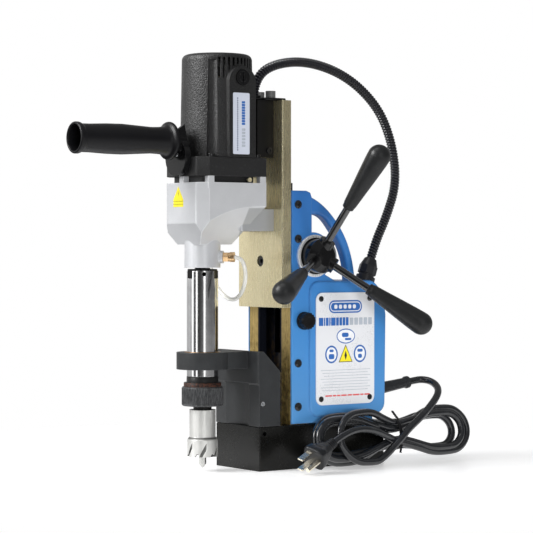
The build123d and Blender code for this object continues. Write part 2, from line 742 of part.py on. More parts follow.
with BuildPart() as annular_cutter:
    rod((0, spindle_y, cutter_top - 1), (0, 0, 1), 9.5, 52)
    rod((0, spindle_y, cutter_step), (0, 0, 1), 13.6, cutter_top - cutter_step)
    cone((0, spindle_y, cutter_step - 3), (0, 0, 1), 16, 13.6, 3)
    rod((0, spindle_y, cutter_low), (0, 0, 1), 16, cutter_step - 3 - cutter_low)
    rod((0, spindle_y, cutter_low - 1), (0, 0, 1), 11.6, 40, Mode.SUBTRACT)
    rod((0, spindle_y, cutter_low - 1), (0, 0, 1), 4.05, 98.5, Mode.SUBTRACT)
    # slanted flutes and the gullets between the teeth
    for number in range(6):
        angle = radians(number * 60 + 12)
        outward = Vector(cos(angle), sin(angle), 0)
        tangent = Vector(-sin(angle), cos(angle), 0)
        lean = (tangent * 0.55 + Vector(0, 0, 1)).normalized()
        start = Vector(0, spindle_y, cutter_low - 3) + outward * 16
        with Locations(Plane(origin=start + lean * 13, x_dir=outward, z_dir=lean)):
            Box(5.2, 3.4, 26, mode=Mode.SUBTRACT)
        gullet = Vector(0, spindle_y, cutter_low) + outward * 14 - tangent * 2.2
        with Locations(Plane(origin=gullet, x_dir=outward, z_dir=lean)):
            Box(9, 3.6, 7, mode=Mode.SUBTRACT)
save(annular_cutter, "annular_cutter")

pilot_tip = 3.6
with BuildPart() as pilot_pin:
    rod((0, spindle_y, pilot_tip + 4), (0, 0, 1), 3.98, 92)
    cone((0, spindle_y, pilot_tip), (0, 0, 1), 0.6, 3.98, 4)
save(pilot_pin, "pilot_pin")

# The spring stands on the pin's top, in the closed end of the cutter's bore.
spring_low = pilot_tip + 96
spring_high = 113.0
with BuildPart() as pilot_spring:
    turns = 4
    for number in range(turns):
        z = spring_low + 1 + (spring_high - spring_low - 2) * number / (turns - 1)
        with Locations((0, spindle_y, z)):
            Torus(3.0, 0.6)
save(pilot_spring, "pilot_spring")

# ---- side handle -------------------------------------------------------------------------
handle_z = 341.0
handle_start = -165.5
hollow_end = -262.0

with BuildPart() as handle_mount:
    # half-round foot on the flange, web and socket for the handle
    with BuildSketch(Plane(origin=(0, block_front, 0), x_dir=(1, 0, 0), z_dir=(0, -1, 0))) as foot:
        with Locations((0, flange_top)):
            Circle(19)
        with Locations((0, handle_z)):
            Circle(12)
        with Locations((0, (flange_top + handle_z) / 2)):
            Rectangle(22, handle_z - flange_top)
    extrude(foot.sketch, amount=7)
    rod((0, block_front - 6, handle_z), (0, -1, 0), 10.5, block_front - handle_start - 6)
    for side in SIDES:
        with BuildSketch(Plane.YZ.offset(side * 9.5 - 1.75)) as gusset:
            with BuildLine():
                Polyline(
                    (block_front - 1, 349),
                    (block_front - 3, 358),
                    (handle_start, 351.5),
                    (handle_start, 333),
                    (block_front - 6, 330),
                    (block_front - 1, 330),
                    close=True,
                )
            make_face()
        extrude(gusset.sketch, amount=3.5)
    rod((0, block_front, handle_z), (0, -1, 0), 4, 30, Mode.SUBTRACT)
save(handle_mount, "handle_mount")

with BuildPart() as side_handle:
    # half section in coordinates along and away from the handle's axis
    with BuildSketch(Plane(origin=(0, 0, handle_z), x_dir=(0, 1, 0), z_dir=(1, 0, 0))) as half:
        with BuildLine():
            Polyline(
                (-174, 14.5),
                (-171, 19.6),
                (-167, 19.6),
                (handle_start, 16),
                (handle_start, 0),
                (hollow_end, 0),
            )
            Spline((-174, 14.5), (-190, 13.5), (-225, 15.5), (hollow_end, 14.4))
            Polyline(
                (hollow_end, 14.4),
                (-273, 14.2),
                (-275.5, 16),
                (-279, 16),
                (-280, 15.2),
                (-280, 12.8),
                (hollow_end, 12),
                (hollow_end, 0),
            )
        make_face()
    revolve(half.sketch, axis=Axis((0, 0, handle_z), (0, 1, 0)))
    rod((0, handle_start, handle_z), (0, 1, 0), 3.9, 13)
save(side_handle, "side_handle")

# ---- coolant -----------------------------------------------------------------------------
coolant_z = 222.0
hose_start = 31.0
with BuildPart() as coolant_fittings:
    for side in SIDES:
        axis = (side, 1, 0)
        rod(along((0, spindle_y, coolant_z), axis, 15), axis, 2.95, 10)
        with BuildSketch(Plane(origin=along((0, spindle_y, coolant_z), axis, 22.1), z_dir=axis)) as hexagon:
            RegularPolygon(5.4, 6)
        extrude(hexagon.sketch, amount=5.5)
        rod(along((0, spindle_y, coolant_z), axis, 27), axis, 4.6, 2.2)
        rod(along((0, spindle_y, coolant_z), axis, 29), axis, 5.2, 4.8)
        rod(along((0, spindle_y, coolant_z), axis, hose_start), axis, 2.35, 10, Mode.SUBTRACT)
save(coolant_fittings, "coolant_fittings")

hose_diameter = 4.2
reach = hose_start / sqrt(2)
right_side = [
    (reach, spindle_y + reach, coolant_z),
    (28.7, -97.9, coolant_z),
    (32.0, -94.6, 210.0),
    (29.2, -92.5, 196.0),
    (17.0, -90.0, 182.0),
]
hose_route = right_side + [(0, -89.0, 176.0)] + [(-x, y, z) for x, y, z in reversed(right_side)]
lead("coolant_hose", hose_route, hose_diameter)

# ---- blue housing ------------------------------------------------------------------------
housing_top = 291.6
housing_bottom = 47.0
tower_back = -14.4
hub_boss_radius = 25.0
bow_half = 7.0
bow_round = 3.5
fuse_spot = (-25.5, 155.0)
gland_foot = (20.0, 70.5, 193.0)
gland_axis = (0.0, 0.33, 0.944)
relief_start = (20.0, 76.0, 76.0)
relief_axis = (0.0, 50.0, 7.0)
relief_length = 57.0


def housing_profile(inset):
    """Side view of the whole housing: tower, hub boss and lower body."""
    with BuildSketch(Plane.YZ) as view:
        with BuildLine():
            Polyline(
                (column_front, housing_bottom),
                (67 - inset, housing_bottom),
                (67 - inset, 60),
                (70 - inset, 187),
                (64 - inset, 197 - inset),
                (18, 196 - inset),
                (tower_back - inset, 212),
                (tower_back - inset, housing_top - 7),
                (tower_back - 2 - inset, housing_top - 2 - inset),
                (tower_back - 7, housing_top - inset),
                (column_front, housing_top - inset),
                close=True,
            )
        make_face()
        with Locations((capstan_y, capstan_z)):
            Circle(hub_boss_radius - inset)
    return view.sketch


def pod_profile(inset):
    """Side view of the raised pod, all its corners round."""
    with BuildSketch(Plane.YZ) as view:
        with BuildLine():
            Polyline(
                (-19 + inset, 53.5 + inset),
                (82 - inset, 53.5 + inset),
                (83.5 - inset, 160),
                (79 - inset, 185),
                (66 - inset, 196.5 - inset),
                (-19 + inset, 196.5 - inset),
                close=True,
            )
        make_face()
        fillet(view.vertices(), pod_corner)
    return view.sketch


def carrying_bow(side):
    """Half of the carrying handle, from the tower's top round to the back of the body."""
    with BuildPart() as bow:
        with BuildSketch(Plane.YZ) as view:
            with BuildLine():
                Spline((-8, 290.2), (8, 287), (24, 279), (43, 262), (58, 240), (67, 214), (70, 190))
                Line((70, 190), (59, 190))
                Spline((59, 190), (58, 212), (50, 234), (37, 253), (26, 264), (16, 267.5))
                Polyline((16, 267.5), (tower_back - 2, 267.5), (tower_back - 2, 290.2), (-8, 290.2))
            make_face()
        extrude(view.sketch, amount=side * bow_half)
        outer_face = bow.faces().sort_by(Axis.X)[-1 if side > 0 else 0]
        fillet(outer_face.edges(), bow_round)
    return bow.part


def housing_half(side, label):
    """One half of the shell with its half of the carrying handle."""
    with BuildPart() as shell:
        outermost = -1 if side > 0 else 0
        extrude(housing_profile(0), amount=side * half_width)
        tower_face = shell.faces().sort_by(Axis.X)[outermost]
        fillet(tower_face.outer_wire().edges(), 1.5)
        extrude(pod_profile(0), amount=side * pod_half)
        pod_face = shell.faces().sort_by(Axis.X)[outermost]
        fillet(pod_face.outer_wire().edges(), 2.2)
        add(carrying_bow(side))
        # the hollow, open at the front where the column stands
        extrude(housing_profile(wall), amount=side * (half_width - wall), mode=Mode.SUBTRACT)
        extrude(pod_profile(wall), amount=side * (pod_half - wall), mode=Mode.SUBTRACT)
        # room for the column, the slide and the rack
        for reach, back, low, high in (
            (half_width - wall, column_back + 0.3, housing_bottom - 1, 289.2),
            (27, -20, 285, housing_top + 1),
        ):
            left, right = sorted((0, side * reach))
            block((left, column_front - 1, low), (right, back, high), Mode.SUBTRACT)
        # holes for the pinion shaft and the screws of this side
        rod((0, capstan_y, capstan_z), (side, 0, 0), 10, 60, Mode.SUBTRACT)
        for z in cover_screw_z:
            rod((0, cover_screw_y, z), (side, 0, 0), 2.2, 60, Mode.SUBTRACT)
        if side > 0:
            rod((30, *fuse_spot), (1, 0, 0), 10, 20, Mode.SUBTRACT)
            rod((half_width - wall + 0.05, *fuse_spot), (1, 0, 0), 10, wall - 0.15)
            rod(along(gland_foot, gland_axis, -4), gland_axis, 10.6, 20, Mode.SUBTRACT)
            rod(along(relief_start, relief_axis, -2), relief_axis, 8.6, 30, Mode.SUBTRACT)
    return shell


housing_right = housing_half(1, "housing_right")
housing_left = housing_half(-1, "housing_left")
save(housing_right, "housing_right")
save(housing_left, "housing_left")

# ---- what the housing carries -------------------------------------------------------------
plate_y = (-12.0, 66.0)
plate_z = (65.4, 184.2)
plate_thickness = 1.2
plate_screw_inset = 6.5
plate_middle = (sum(plate_y) / 2, sum(plate_z) / 2)
plate_screw_spots = [
    (plate_middle[0] + a * (plate_y[1] - plate_y[0] - 2 * plate_screw_inset) / 2,
     plate_middle[1] + b * (plate_z[1] - plate_z[0] - 2 * plate_screw_inset) / 2)
    for a in SIDES
    for b in SIDES
]

with BuildPart() as label_plate:
    with BuildSketch(Plane.YZ.offset(pod_half)) as outline:
        with Locations(plate_middle):
            RectangleRounded(plate_y[1] - plate_y[0], plate_z[1] - plate_z[0], 8)
    extrude(outline.sketch, amount=plate_thickness)
    for y, z in plate_screw_spots:
        rod((pod_half, y, z), (1, 0, 0), 1.75, 3, Mode.SUBTRACT)
save(label_plate, "label_plate")


def button_head(spot, direction, radius, height, shank_radius, shank_length):
    """Black dome head screw with a hexagon socket."""
    rod(spot, direction, radius, height * 0.4)
    cone(along(spot, direction, height * 0.4), direction, radius, radius * 0.6, height * 0.6)
    rod(along(spot, direction, -shank_length), direction, shank_radius, shank_length)
    with BuildSketch(Plane(origin=along(spot, direction, height), z_dir=direction)) as socket:
        RegularPolygon(radius * 0.36, 6)
    extrude(socket.sketch, amount=-height * 0.7, mode=Mode.SUBTRACT)


with BuildPart() as housing_screws:
    for side in SIDES:
        for z in cover_screw_z:
            button_head((side * half_width, cover_screw_y, z), (side, 0, 0), 4.4, 2.4, 1.95, 11)
    for y, z in plate_screw_spots:
        button_head((pod_half + plate_thickness, y, z), (1, 0, 0), 3.0, 1.6, 1.7, plate_thickness)
save(housing_screws, "housing_screws")

with BuildPart() as fuse_cap:
    rod((half_width, *fuse_spot), (1, 0, 0), 9.4, 2)
    cone((half_width + 2, *fuse_spot), (1, 0, 0), 8.6, 7.8, 8)
    for number in range(16):
        angle = 2 * pi * number / 16
        rib_y = fuse_spot[0] + 8.3 * cos(angle)
        rib_z = fuse_spot[1] + 8.3 * sin(angle)
        rod((half_width + 1.5, rib_y, rib_z), (1, 0, 0), 0.7, 7.5)
    rod((half_width + 9, *fuse_spot), (1, 0, 0), 4, 3, Mode.SUBTRACT)
save(fuse_cap, "fuse_cap")

with BuildPart() as conduit_gland:
    rod(gland_foot, gland_axis, 10.5, 8)
    rod(along(gland_foot, gland_axis, 8), gland_axis, 8.4, 3)
    with BuildSketch(Plane(origin=along(gland_foot, gland_axis, 11), z_dir=gland_axis)) as nut:
        RegularPolygon(10.2, 8)
    extrude(nut.sketch, amount=9)
    cone(along(gland_foot, gland_axis, 20), gland_axis, 9.6, 6.6, 8)
    rod(along(gland_foot, gland_axis, 24), gland_axis, 5.6, 10, Mode.SUBTRACT)
save(conduit_gland, "conduit_gland")

with BuildPart() as strain_relief:
    rod(relief_start, relief_axis, 8.5, 9.5)
    cone(along(relief_start, relief_axis, 8), relief_axis, 6.4, 5.4, relief_length - 12)
    rod(along(relief_start, relief_axis, relief_length - 4), relief_axis, 6.8, 4)
save(strain_relief, "strain_relief")

with BuildPart() as control_board:
    block((-24, 5, 80), (24, 62, 81.6))
    block((-20, 10, 81.6), (-2, 30, 97))
    block((4, 12, 81.6), (20, 26, 93))
    for x in (-15, -4, 7):
        rod((x, 48, 81.6), (0, 0, 1), 4.2, 18)
    for x, y in ((-20, 8), (20, 8), (-20, 59), (20, 59)):
        rod((x, y, base_height + 0.02), (0, 0, 1), 2.5, 80 - base_height - 0.02)
save(control_board, "control_board")

# control panel on the -X side of the pod: magnet rocker, start and stop buttons
panel_y = (0.0, 60.0)
panel_z = (92.0, 172.0)
panel_face = -pod_half - 2.5
rocker_spot = (30.0, 152.0)
rocker_size = (13.0, 21.0)
start_spot = (30.0, 128.0)
stop_spot = (30.0, 106.0)
button_radius = 7.0

with BuildPart() as switch_panel:
    with BuildSketch(Plane.YZ.offset(panel_face)) as face:
        with Locations((sum(panel_y) / 2, sum(panel_z) / 2)):
            RectangleRounded(panel_y[1] - panel_y[0], panel_z[1] - panel_z[0], 6)
    extrude(face.sketch, amount=2.5)
    chamfer(switch_panel.faces().sort_by(Axis.X)[0].outer_wire().edges(), 0.8)
    for y, z in (start_spot, stop_spot):
        rod((panel_face, y, z), (-1, 0, 0), button_radius + 2.6, 3.0)
        rod((panel_face - 4, y, z), (1, 0, 0), button_radius + 0.2, 6.0, Mode.SUBTRACT)
    low_y, low_z = (middle - size / 2 for middle, size in zip(rocker_spot, rocker_size))
    high_y, high_z = (middle + size / 2 for middle, size in zip(rocker_spot, rocker_size))
    block((panel_face - 2, low_y - 2.5, low_z - 2.5), (panel_face, high_y + 2.5, high_z + 2.5))
    opening = ((panel_face - 3, low_y - 0.3, low_z - 0.6), (panel_face + 2.2, high_y + 0.3, high_z + 0.6))
    block(*opening, Mode.SUBTRACT)
save(switch_panel, "switch_panel")

for label, spot in (("start_button", start_spot), ("stop_button", stop_spot)):
    stands_out = 5.0 if label == "start_button" else 6.5
    with BuildPart() as button:
        rod((panel_face - 1.4, *spot), (-1, 0, 0), button_radius, stands_out + 0.2)
        fillet(button.faces().sort_by(Axis.X)[0].edges(), 1.2)
    save(button, label)

rocker_pivot = (panel_face - 0.2, *rocker_spot)
with BuildPart() as magnet_rocker:
    with BuildSketch(Plane.XZ.offset(-rocker_spot[0] + rocker_size[0] / 2)) as side_view:
        with BuildLine():
            Polyline(
                (panel_face + 1.0, rocker_spot[1] - 9.4),
                (panel_face - 2.6, rocker_spot[1] - 9.8),
                (panel_face - 3.0, rocker_spot[1]),
                (panel_face - 6.0, rocker_spot[1] + 9.0),
                (panel_face - 1.0, rocker_spot[1] + 9.8),
                (panel_face + 1.0, rocker_spot[1] + 2),
                close=True,
            )
        make_face()
    extrude(side_view.sketch, amount=-rocker_size[0])
save(magnet_rocker, "magnet_rocker")

# ---- capstan -----------------------------------------------------------------------------
flange_out = 43.5
hub_start = 44.0
with BuildPart() as hub_flange:
    rod((half_width, capstan_y, capstan_z), (1, 0, 0), 22.3, flange_out - half_width)
    chamfer(hub_flange.faces().sort_by(Axis.X)[-1].edges(), 0.8)
    rod((half_width - 1, capstan_y, capstan_z), (1, 0, 0), shaft_radius + 0.3, 9, Mode.SUBTRACT)
save(hub_flange, "hub_flange")

with BuildPart() as pinion_shaft:
    rod((-half_width + 1, capstan_y, capstan_z), (1, 0, 0), shaft_radius, hub_start + half_width + 5)
    gear(
        Plane(origin=(-9, capstan_y, capstan_z), x_dir=(0, 1, 0), z_dir=(1, 0, 0)),
        pinion_teeth,
        feed_module,
        180,
        18,
        0.16,
    )
    rod((-half_width - 1.5, capstan_y, capstan_z), (1, 0, 0), 8.8, 2.5)
save(pinion_shaft, "pinion_shaft")


def spoke_direction(angle):
    """Unit vector of a spoke: angle in the YZ plane from +Y, tilted outward."""
    flat = cos(radians(spoke_tilt))
    return Vector(sin(radians(spoke_tilt)), flat * cos(radians(angle)), flat * sin(radians(angle)))


spoke_origin = (spoke_centre_x, capstan_y, capstan_z)
hub_radius = 18.0
rod_radius = 4.0
rod_root = 8.0
rod_end = 96.0
knob_start = 62.0
knob_end = 140.0

with BuildPart() as capstan_hub:
    rod((hub_start, capstan_y, capstan_z), (1, 0, 0), hub_radius, 12)
    cone((hub_start + 12, capstan_y, capstan_z), (1, 0, 0), hub_radius, 11, 7)
    chamfer(capstan_hub.faces().sort_by(Axis.X)[0].edges(), 1)
    for angle in spoke_angles:
        rod(spoke_origin, spoke_direction(angle), 8.2, 20)
    rod((hub_start - 8, capstan_y, capstan_z), (1, 0, 0), 30, 8, Mode.SUBTRACT)
    rod((hub_start - 1, capstan_y, capstan_z), (1, 0, 0), shaft_radius, 8, Mode.SUBTRACT)
    for angle in spoke_angles:
        heading = spoke_direction(angle)
        rod(along(spoke_origin, heading, rod_root), heading, rod_radius, 30, Mode.SUBTRACT)
save(capstan_hub, "capstan_hub")

with BuildPart() as capstan_spokes:
    for angle in spoke_angles:
        heading = spoke_direction(angle)
        rod(along(spoke_origin, heading, rod_root), heading, rod_radius, rod_end - rod_root)
save(capstan_spokes, "capstan_spokes")

with BuildPart() as spoke_knobs:
    ball = 12.0
    ball_centre = knob_end - ball
    for angle in spoke_angles:
        heading = spoke_direction(angle)
        with Locations(Plane(origin=along(spoke_origin, heading, ball_centre), z_dir=heading)):
            Sphere(ball)
        foot = along(spoke_origin, heading, knob_start)
        rod(foot, heading, 6.2, 4)
        cone(along(foot, heading, 4), heading, 6.6, ball * 0.985, ball_centre - knob_start - 2)
        rod(along(foot, heading, -2), heading, rod_radius, rod_end - knob_start + 2, Mode.SUBTRACT)
save(spoke_knobs, "spoke_knobs")

# ---- conduit and mains lead ----------------------------------------------------------------
conduit_diameter = 10.5
conduit_start = along(gland_foot, gland_axis, 24)
conduit_route = [
    tuple(conduit_start),
    tuple(along(conduit_start, gland_axis, 24)),
    (20.0, 101.0, 264.0),
    (20.0, 116.0, 302.0),
    (20.0, 110.0, 346.0),
    (19.5, 90.0, 386.0),
    (15.0, 50.0, 418.0),
    (8.5, 0.0, 432.0),
    (2.5, -44.0, 425.0),
    (0.0, -62.0, 405.0),
    (0.0, -62.0, 386.0),
]
lead("conduit", conduit_route, conduit_diameter)

cord_diameter = 7.8
cord_start = along(relief_start, relief_axis, relief_length)
cord_route = [
    tuple(cord_start),
    tuple(along(cord_start, relief_axis, 14)),
    (33.0, 155.0, 84.0),
    (47.0, 155.0, 74.0),
    (59.0, 141.0, 64.0),
    (66.0, 120.0, 52.0),
    (67.0, 97.0, 38.0),
]
lead("power_cord", cord_route, cord_diameter)

# The tied hank stands on edge beside the base and leans on it a little.
hank_yaw = radians(7.2)
hank_lean = radians(12.0)
hank_centre = Vector(55.0, 84.0, 31.2)
hank_along = Vector(-sin(hank_yaw), cos(hank_yaw), 0)
hank_side = Vector(cos(hank_yaw) * cos(hank_lean), sin(hank_yaw) * cos(hank_lean), sin(hank_lean))
hank_plane = Plane(origin=hank_centre, x_dir=hank_along, z_dir=hank_side)
hank_depth = 20.0
waist_height = 30.0

with BuildPart() as cord_hank:
    with BuildSketch(hank_plane.offset(-hank_depth / 2)) as bow:
        with Locations((-60, 0)):
            Ellipse(59, 28)
        with Locations((60, 0)):
            Ellipse(60, 26)
        Rectangle(60, waist_height)
    extrude(bow.sketch, amount=hank_depth)
save(cord_hank, "cord_hank")

with BuildPart() as cord_tie:
    with BuildSketch(hank_plane.offset(-hank_depth / 2 - 1.6)) as outer_band:
        Rectangle(6, waist_height + 3.2)
    extrude(outer_band.sketch, amount=hank_depth + 3.2)
    with BuildSketch(hank_plane.offset(-hank_depth / 2)) as inner_band:
        Rectangle(8, waist_height)
    extrude(inner_band.sketch, amount=hank_depth, mode=Mode.SUBTRACT)
save(cord_tie, "cord_tie")

plug_axis = Vector(0.193, -0.893, -0.403).normalized()
plug_side = Vector(0.888, 0.336, -0.315)
plug_nose = Vector(89.3, -50.7, 15.6)
plug_plane = Plane(origin=plug_nose, x_dir=plug_side, z_dir=-plug_axis)
blade_gap = 12.7
blade_length = 16.0

with BuildPart() as plug_body:
    with BuildSketch(plug_plane) as nose:
        RectangleRounded(25, 23, 6)
    with BuildSketch(plug_plane.offset(24)) as rear:
        RectangleRounded(17, 15, 5)
    loft([nose.sketch, rear.sketch])
    cone(plug_plane.origin - plug_axis * 24, -plug_axis, 6.6, 4.9, 13)
save(plug_body, "plug_body")

with BuildPart() as plug_prongs:
    for side in SIDES:
        with BuildSketch(plug_plane) as blade:
            with Locations((-4, side * blade_gap / 2)):
                Rectangle(6.3, 1.5)
        extrude(blade.sketch, amount=-blade_length)
    with BuildSketch(plug_plane) as earth:
        with Locations((7.9, 0)):
            Circle(2.4)
    extrude(earth.sketch, amount=-blade_length - 3)
save(plug_prongs, "plug_prongs")
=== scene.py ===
import json
import math
from math import cos, pi, radians, sin

import bmesh
import bpy
import numpy as np
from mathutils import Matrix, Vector


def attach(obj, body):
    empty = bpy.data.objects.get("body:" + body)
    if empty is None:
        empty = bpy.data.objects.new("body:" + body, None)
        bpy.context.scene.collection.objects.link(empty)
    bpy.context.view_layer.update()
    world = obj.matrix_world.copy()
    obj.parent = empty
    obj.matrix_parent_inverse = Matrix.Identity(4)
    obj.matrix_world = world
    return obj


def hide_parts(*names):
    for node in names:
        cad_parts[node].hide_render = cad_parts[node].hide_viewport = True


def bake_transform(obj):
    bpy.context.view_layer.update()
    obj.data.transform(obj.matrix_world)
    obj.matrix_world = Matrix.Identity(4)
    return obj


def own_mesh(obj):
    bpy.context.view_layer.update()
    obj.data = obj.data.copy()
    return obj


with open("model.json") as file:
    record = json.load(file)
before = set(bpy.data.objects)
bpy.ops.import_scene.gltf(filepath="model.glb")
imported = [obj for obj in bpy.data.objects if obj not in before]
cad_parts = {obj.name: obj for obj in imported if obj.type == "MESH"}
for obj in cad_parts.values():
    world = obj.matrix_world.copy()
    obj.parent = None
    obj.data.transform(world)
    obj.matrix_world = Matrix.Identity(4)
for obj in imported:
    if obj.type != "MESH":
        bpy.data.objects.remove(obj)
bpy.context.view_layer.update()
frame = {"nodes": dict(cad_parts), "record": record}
nodes = frame["nodes"]
MM = 0.001
X, Y, Z = Vector((1, 0, 0)), Vector((0, 1, 0)), Vector((0, 0, 1))

# ---- camera and lamps ----------------------------------------------------------------------
scene = bpy.context.scene
scene.view_settings.view_transform = "Standard"
scene.view_settings.look = "None"

camera_data = bpy.data.cameras.new("camera")
camera = bpy.data.objects.new("camera", camera_data)
scene.collection.objects.link(camera)
scene.camera = camera
camera_data.sensor_width = 36
camera_data.lens = 136.8
camera_data.clip_start = 0.05
camera_data.clip_end = 50
camera_heading = Vector((-0.814, 0.581, -0.00815))
camera.location = (1.747, -1.292, 0.2293)
camera.rotation_euler = camera_heading.to_track_quat("-Z", "Y").to_euler()


def area_light(name, place, target, size, power, reflected=True):
    """Soft rectangular light at a place, facing a target point; it may be kept out of reflections."""
    light = bpy.data.lights.new(name, "AREA")
    light.shape = "RECTANGLE"
    light.size, light.size_y = size
    light.energy = power
    lamp = bpy.data.objects.new(name, light)
    scene.collection.objects.link(lamp)
    lamp.location = place
    lamp.rotation_euler = (Vector(target) - Vector(place)).to_track_quat("-Z", "Y").to_euler()
    lamp.visible_glossy = reflected


area_light("key_front", (-0.6, -2.0, 1.5), (0, -0.05, 0.2), (1.0, 1.2), 58)
area_light("fill_right", (2.3, -0.9, 0.25), (0, 0.05, 0.2), (0.6, 0.5), 27, reflected=False)
area_light("low_right", (0.80, 0.40, 0.05), (0.04, 0.06, 0.08), (0.25, 0.15), 1.8, reflected=False)
area_light("top", (0.1, -0.7, 2.2), (0, 0, 0.2), (1.0, 0.8), 7)
area_light("back", (-1.6, 1.5, 1.0), (0, 0, 0.2), (1.2, 1.2), 8, reflected=False)


# ---- node trees ------------------------------------------------------------------------------
class Tree:
    """A node tree, with short calls for the nodes it needs."""

    def __init__(self, tree):
        self.tree = tree

    def node(self, kind, settings=None, **inputs):
        """New node; inputs go by name, with _ for a space, or by number."""
        made = self.tree.nodes.new(kind)
        for key, value in (settings or {}).items():
            setattr(made, key, value)
        for key, value in inputs.items():
            self.put(made, key.replace("_", " "), value)
        return made

    def put(self, node, key, value):
        """Link a socket to an input, or set the input's value."""
        socket = node.inputs[int(key) if key.isdigit() else key]
        if isinstance(value, bpy.types.NodeSocket):
            self.tree.links.new(value, socket)
        else:
            socket.default_value = (*value, 1) if socket.type == "RGBA" and len(value) == 3 else value

    def math(self, operation, a, b=0.0):
        return self.node("ShaderNodeMath", {"operation": operation}, **{"0": a, "1": b}).outputs[0]

    def product(self, a, b):
        return self.math("MULTIPLY", a, b)

    def vector_math(self, operation, **inputs):
        """The number that a vector node gives, such as a length or a dot product."""
        return self.node("ShaderNodeVectorMath", {"operation": operation}, **inputs).outputs["Value"]

    def spread(self, value, low, high, to_low=0.0, to_high=1.0):
        return self.node("ShaderNodeMapRange", {"clamp": True}, Value=value, From_Min=low, From_Max=high,
                         To_Min=to_low, To_Max=to_high).outputs["Result"]

    def between(self, factor, a, b):
        """Number between a, at factor 0, and b, at factor 1."""
        return self.node("ShaderNodeMix", Factor=factor, A=a, B=b).outputs["Result"]


# ---- studio round the object -----------------------------------------------------------------
# Brightness by compass direction in degrees from +X, with three narrow upright lamps; the
# backdrop that the camera sees is white.
room = ((-180, 0.50), (-150, 0.76), (-119, 0.60), (-113, 2.6), (-106, 2.4), (-101, 0.10), (-84, 0.07),
        (-80, 2.6), (-73, 2.6), (-70, 0.05), (-58, 0.03), (-40, 0.06), (-26, 0.14), (-22, 2.6), (-15, 2.4),
        (-11, 0.30), (0, 0.18), (15, 0.11), (38, 0.07), (62, 0.13), (90, 0.28), (125, 0.36), (180, 0.50))
overhead, underfoot, sweep, backdrop = 0.26, 0.10, 0.65, 1.0
sweep_heading = (0.72, 0.69, 0)

world = bpy.data.worlds.new("studio")
scene.world = world
world.use_nodes = True
background = world.node_tree.nodes["Background"]
background.inputs["Color"].default_value = (1, 1, 1, 1)
studio = Tree(world.node_tree)
outward = studio.node("ShaderNodeTexCoord").outputs["Generated"]
parts = studio.node("ShaderNodeSeparateXYZ", Vector=outward).outputs
compass = studio.math("ARCTAN2", parts["Y"], parts["X"])
curve = studio.node("ShaderNodeFloatCurve", Value=studio.spread(compass, -pi, pi))
line = curve.mapping.curves[0]
curve.mapping.use_clip = False
for degrees, brightness in room:
    line.points.new((degrees + 180) / 360, brightness)
line.points.remove(line.points[0])
for point in line.points:
    point.handle_type = "VECTOR"
curve.mapping.update()
climb = studio.spread(parts["Z"], 0.30, 0.65)
sink = studio.spread(parts["Z"], 0.0, -0.20)
upper = studio.between(climb, curve.outputs[0], overhead)
# the white sweep on the right, below the horizon
rightward = studio.vector_math("DOT_PRODUCT", **{"0": outward, "1": sweep_heading})
lower = studio.between(sink, upper, studio.spread(rightward, -0.2, 0.7, underfoot, sweep))
seen = studio.node("ShaderNodeLightPath").outputs["Is Camera Ray"]
studio.put(background, "Strength", studio.between(seen, lower, backdrop))


# ---- materials -------------------------------------------------------------------------------
class Graph(Tree):
    """A material's nodes; places and sizes are in metres, in the object's own coordinates."""

    def __init__(self, material):
        super().__init__(material.node_tree)
        self.material = material
        self.shader = self.tree.nodes["Principled BSDF"]
        self.place = self.node("ShaderNodeTexCoord").outputs["Object"]

    def set(self, key, value):
        self.put(self.shader, key, value)

    def stretched(self, factors):
        """The object's own coordinates, scaled along each axis."""
        return self.node("ShaderNodeMapping", Vector=self.place, Scale=factors).outputs[0]

    def noise(self, size, detail=3.0, vector=None):
        """Noise from 0 to 1 whose grains are about size metres wide."""
        return self.node("ShaderNodeTexNoise", Vector=vector or self.place, Scale=1 / size,
                         Detail=detail, Roughness=0.55).outputs["Fac"]

    def drifting(self, noise, low=0.0, high=1.0):
        """Number that wanders from low to high over the noise's usual range."""
        return self.spread(noise, 0.3, 0.7, low, high)

    def mix(self, factor, a, b):
        """Colour between a, at factor 0, and b, at factor 1."""
        made = self.node("ShaderNodeMix", {"data_type": "RGBA", "blend_type": "MIX", "clamp_factor": True})
        for index, value in ((0, factor), (6, a), (7, b)):
            self.put(made, str(index), value)
        return made.outputs[2]

    def edge(self, radius):
        """1 along sharp edges and 0 away from them, with the rounded normal."""
        rounded = self.node("ShaderNodeBevel", {"samples": 6}, Radius=radius).outputs[0]
        flat = self.node("ShaderNodeNewGeometry").outputs["Normal"]
        return self.spread(self.vector_math("DOT_PRODUCT", **{"0": rounded, "1": flat}), 0.999, 0.9), rounded

    def bump(self, height, depth, normal=None):
        made = self.node("ShaderNodeBump", Strength=1.0, Distance=depth, Height=height)
        if normal is not None:
            self.put(made, "Normal", normal)
        return made.outputs[0]

    def above(self, axis, low, high):
        """Mask: 0 below one place along an axis and 1 beyond the other."""
        return self.spread(self.node("ShaderNodeSeparateXYZ", Vector=self.place).outputs[axis], low, high)

    def below(self, axis, low, high):
        """Mask: 1 below one place along an axis and 0 beyond the other."""
        return self.above(axis, high, low)

    def middle(self, axis, near, far):
        """Mask: 1 within one distance of the middle plane across an axis and 0 beyond another."""
        part = self.node("ShaderNodeSeparateXYZ", Vector=self.place).outputs[axis]
        return self.spread(self.math("ABSOLUTE", part), far, near)

    def inside(self, centre, across, near, far):
        """Mask: 1 within one distance of a line and 0 beyond another; across is 1 square to the line."""
        offset = tuple(-c * a for c, a in zip(centre, across))
        place = self.node("ShaderNodeMapping", Vector=self.place, Location=offset, Scale=across).outputs[0]
        return self.spread(self.vector_math("LENGTH", **{"0": place}), far, near)


def new_graph(name):
    """Graph of a new material."""
    material = bpy.data.materials.new(name)
    material.use_nodes = True
    return Graph(material)


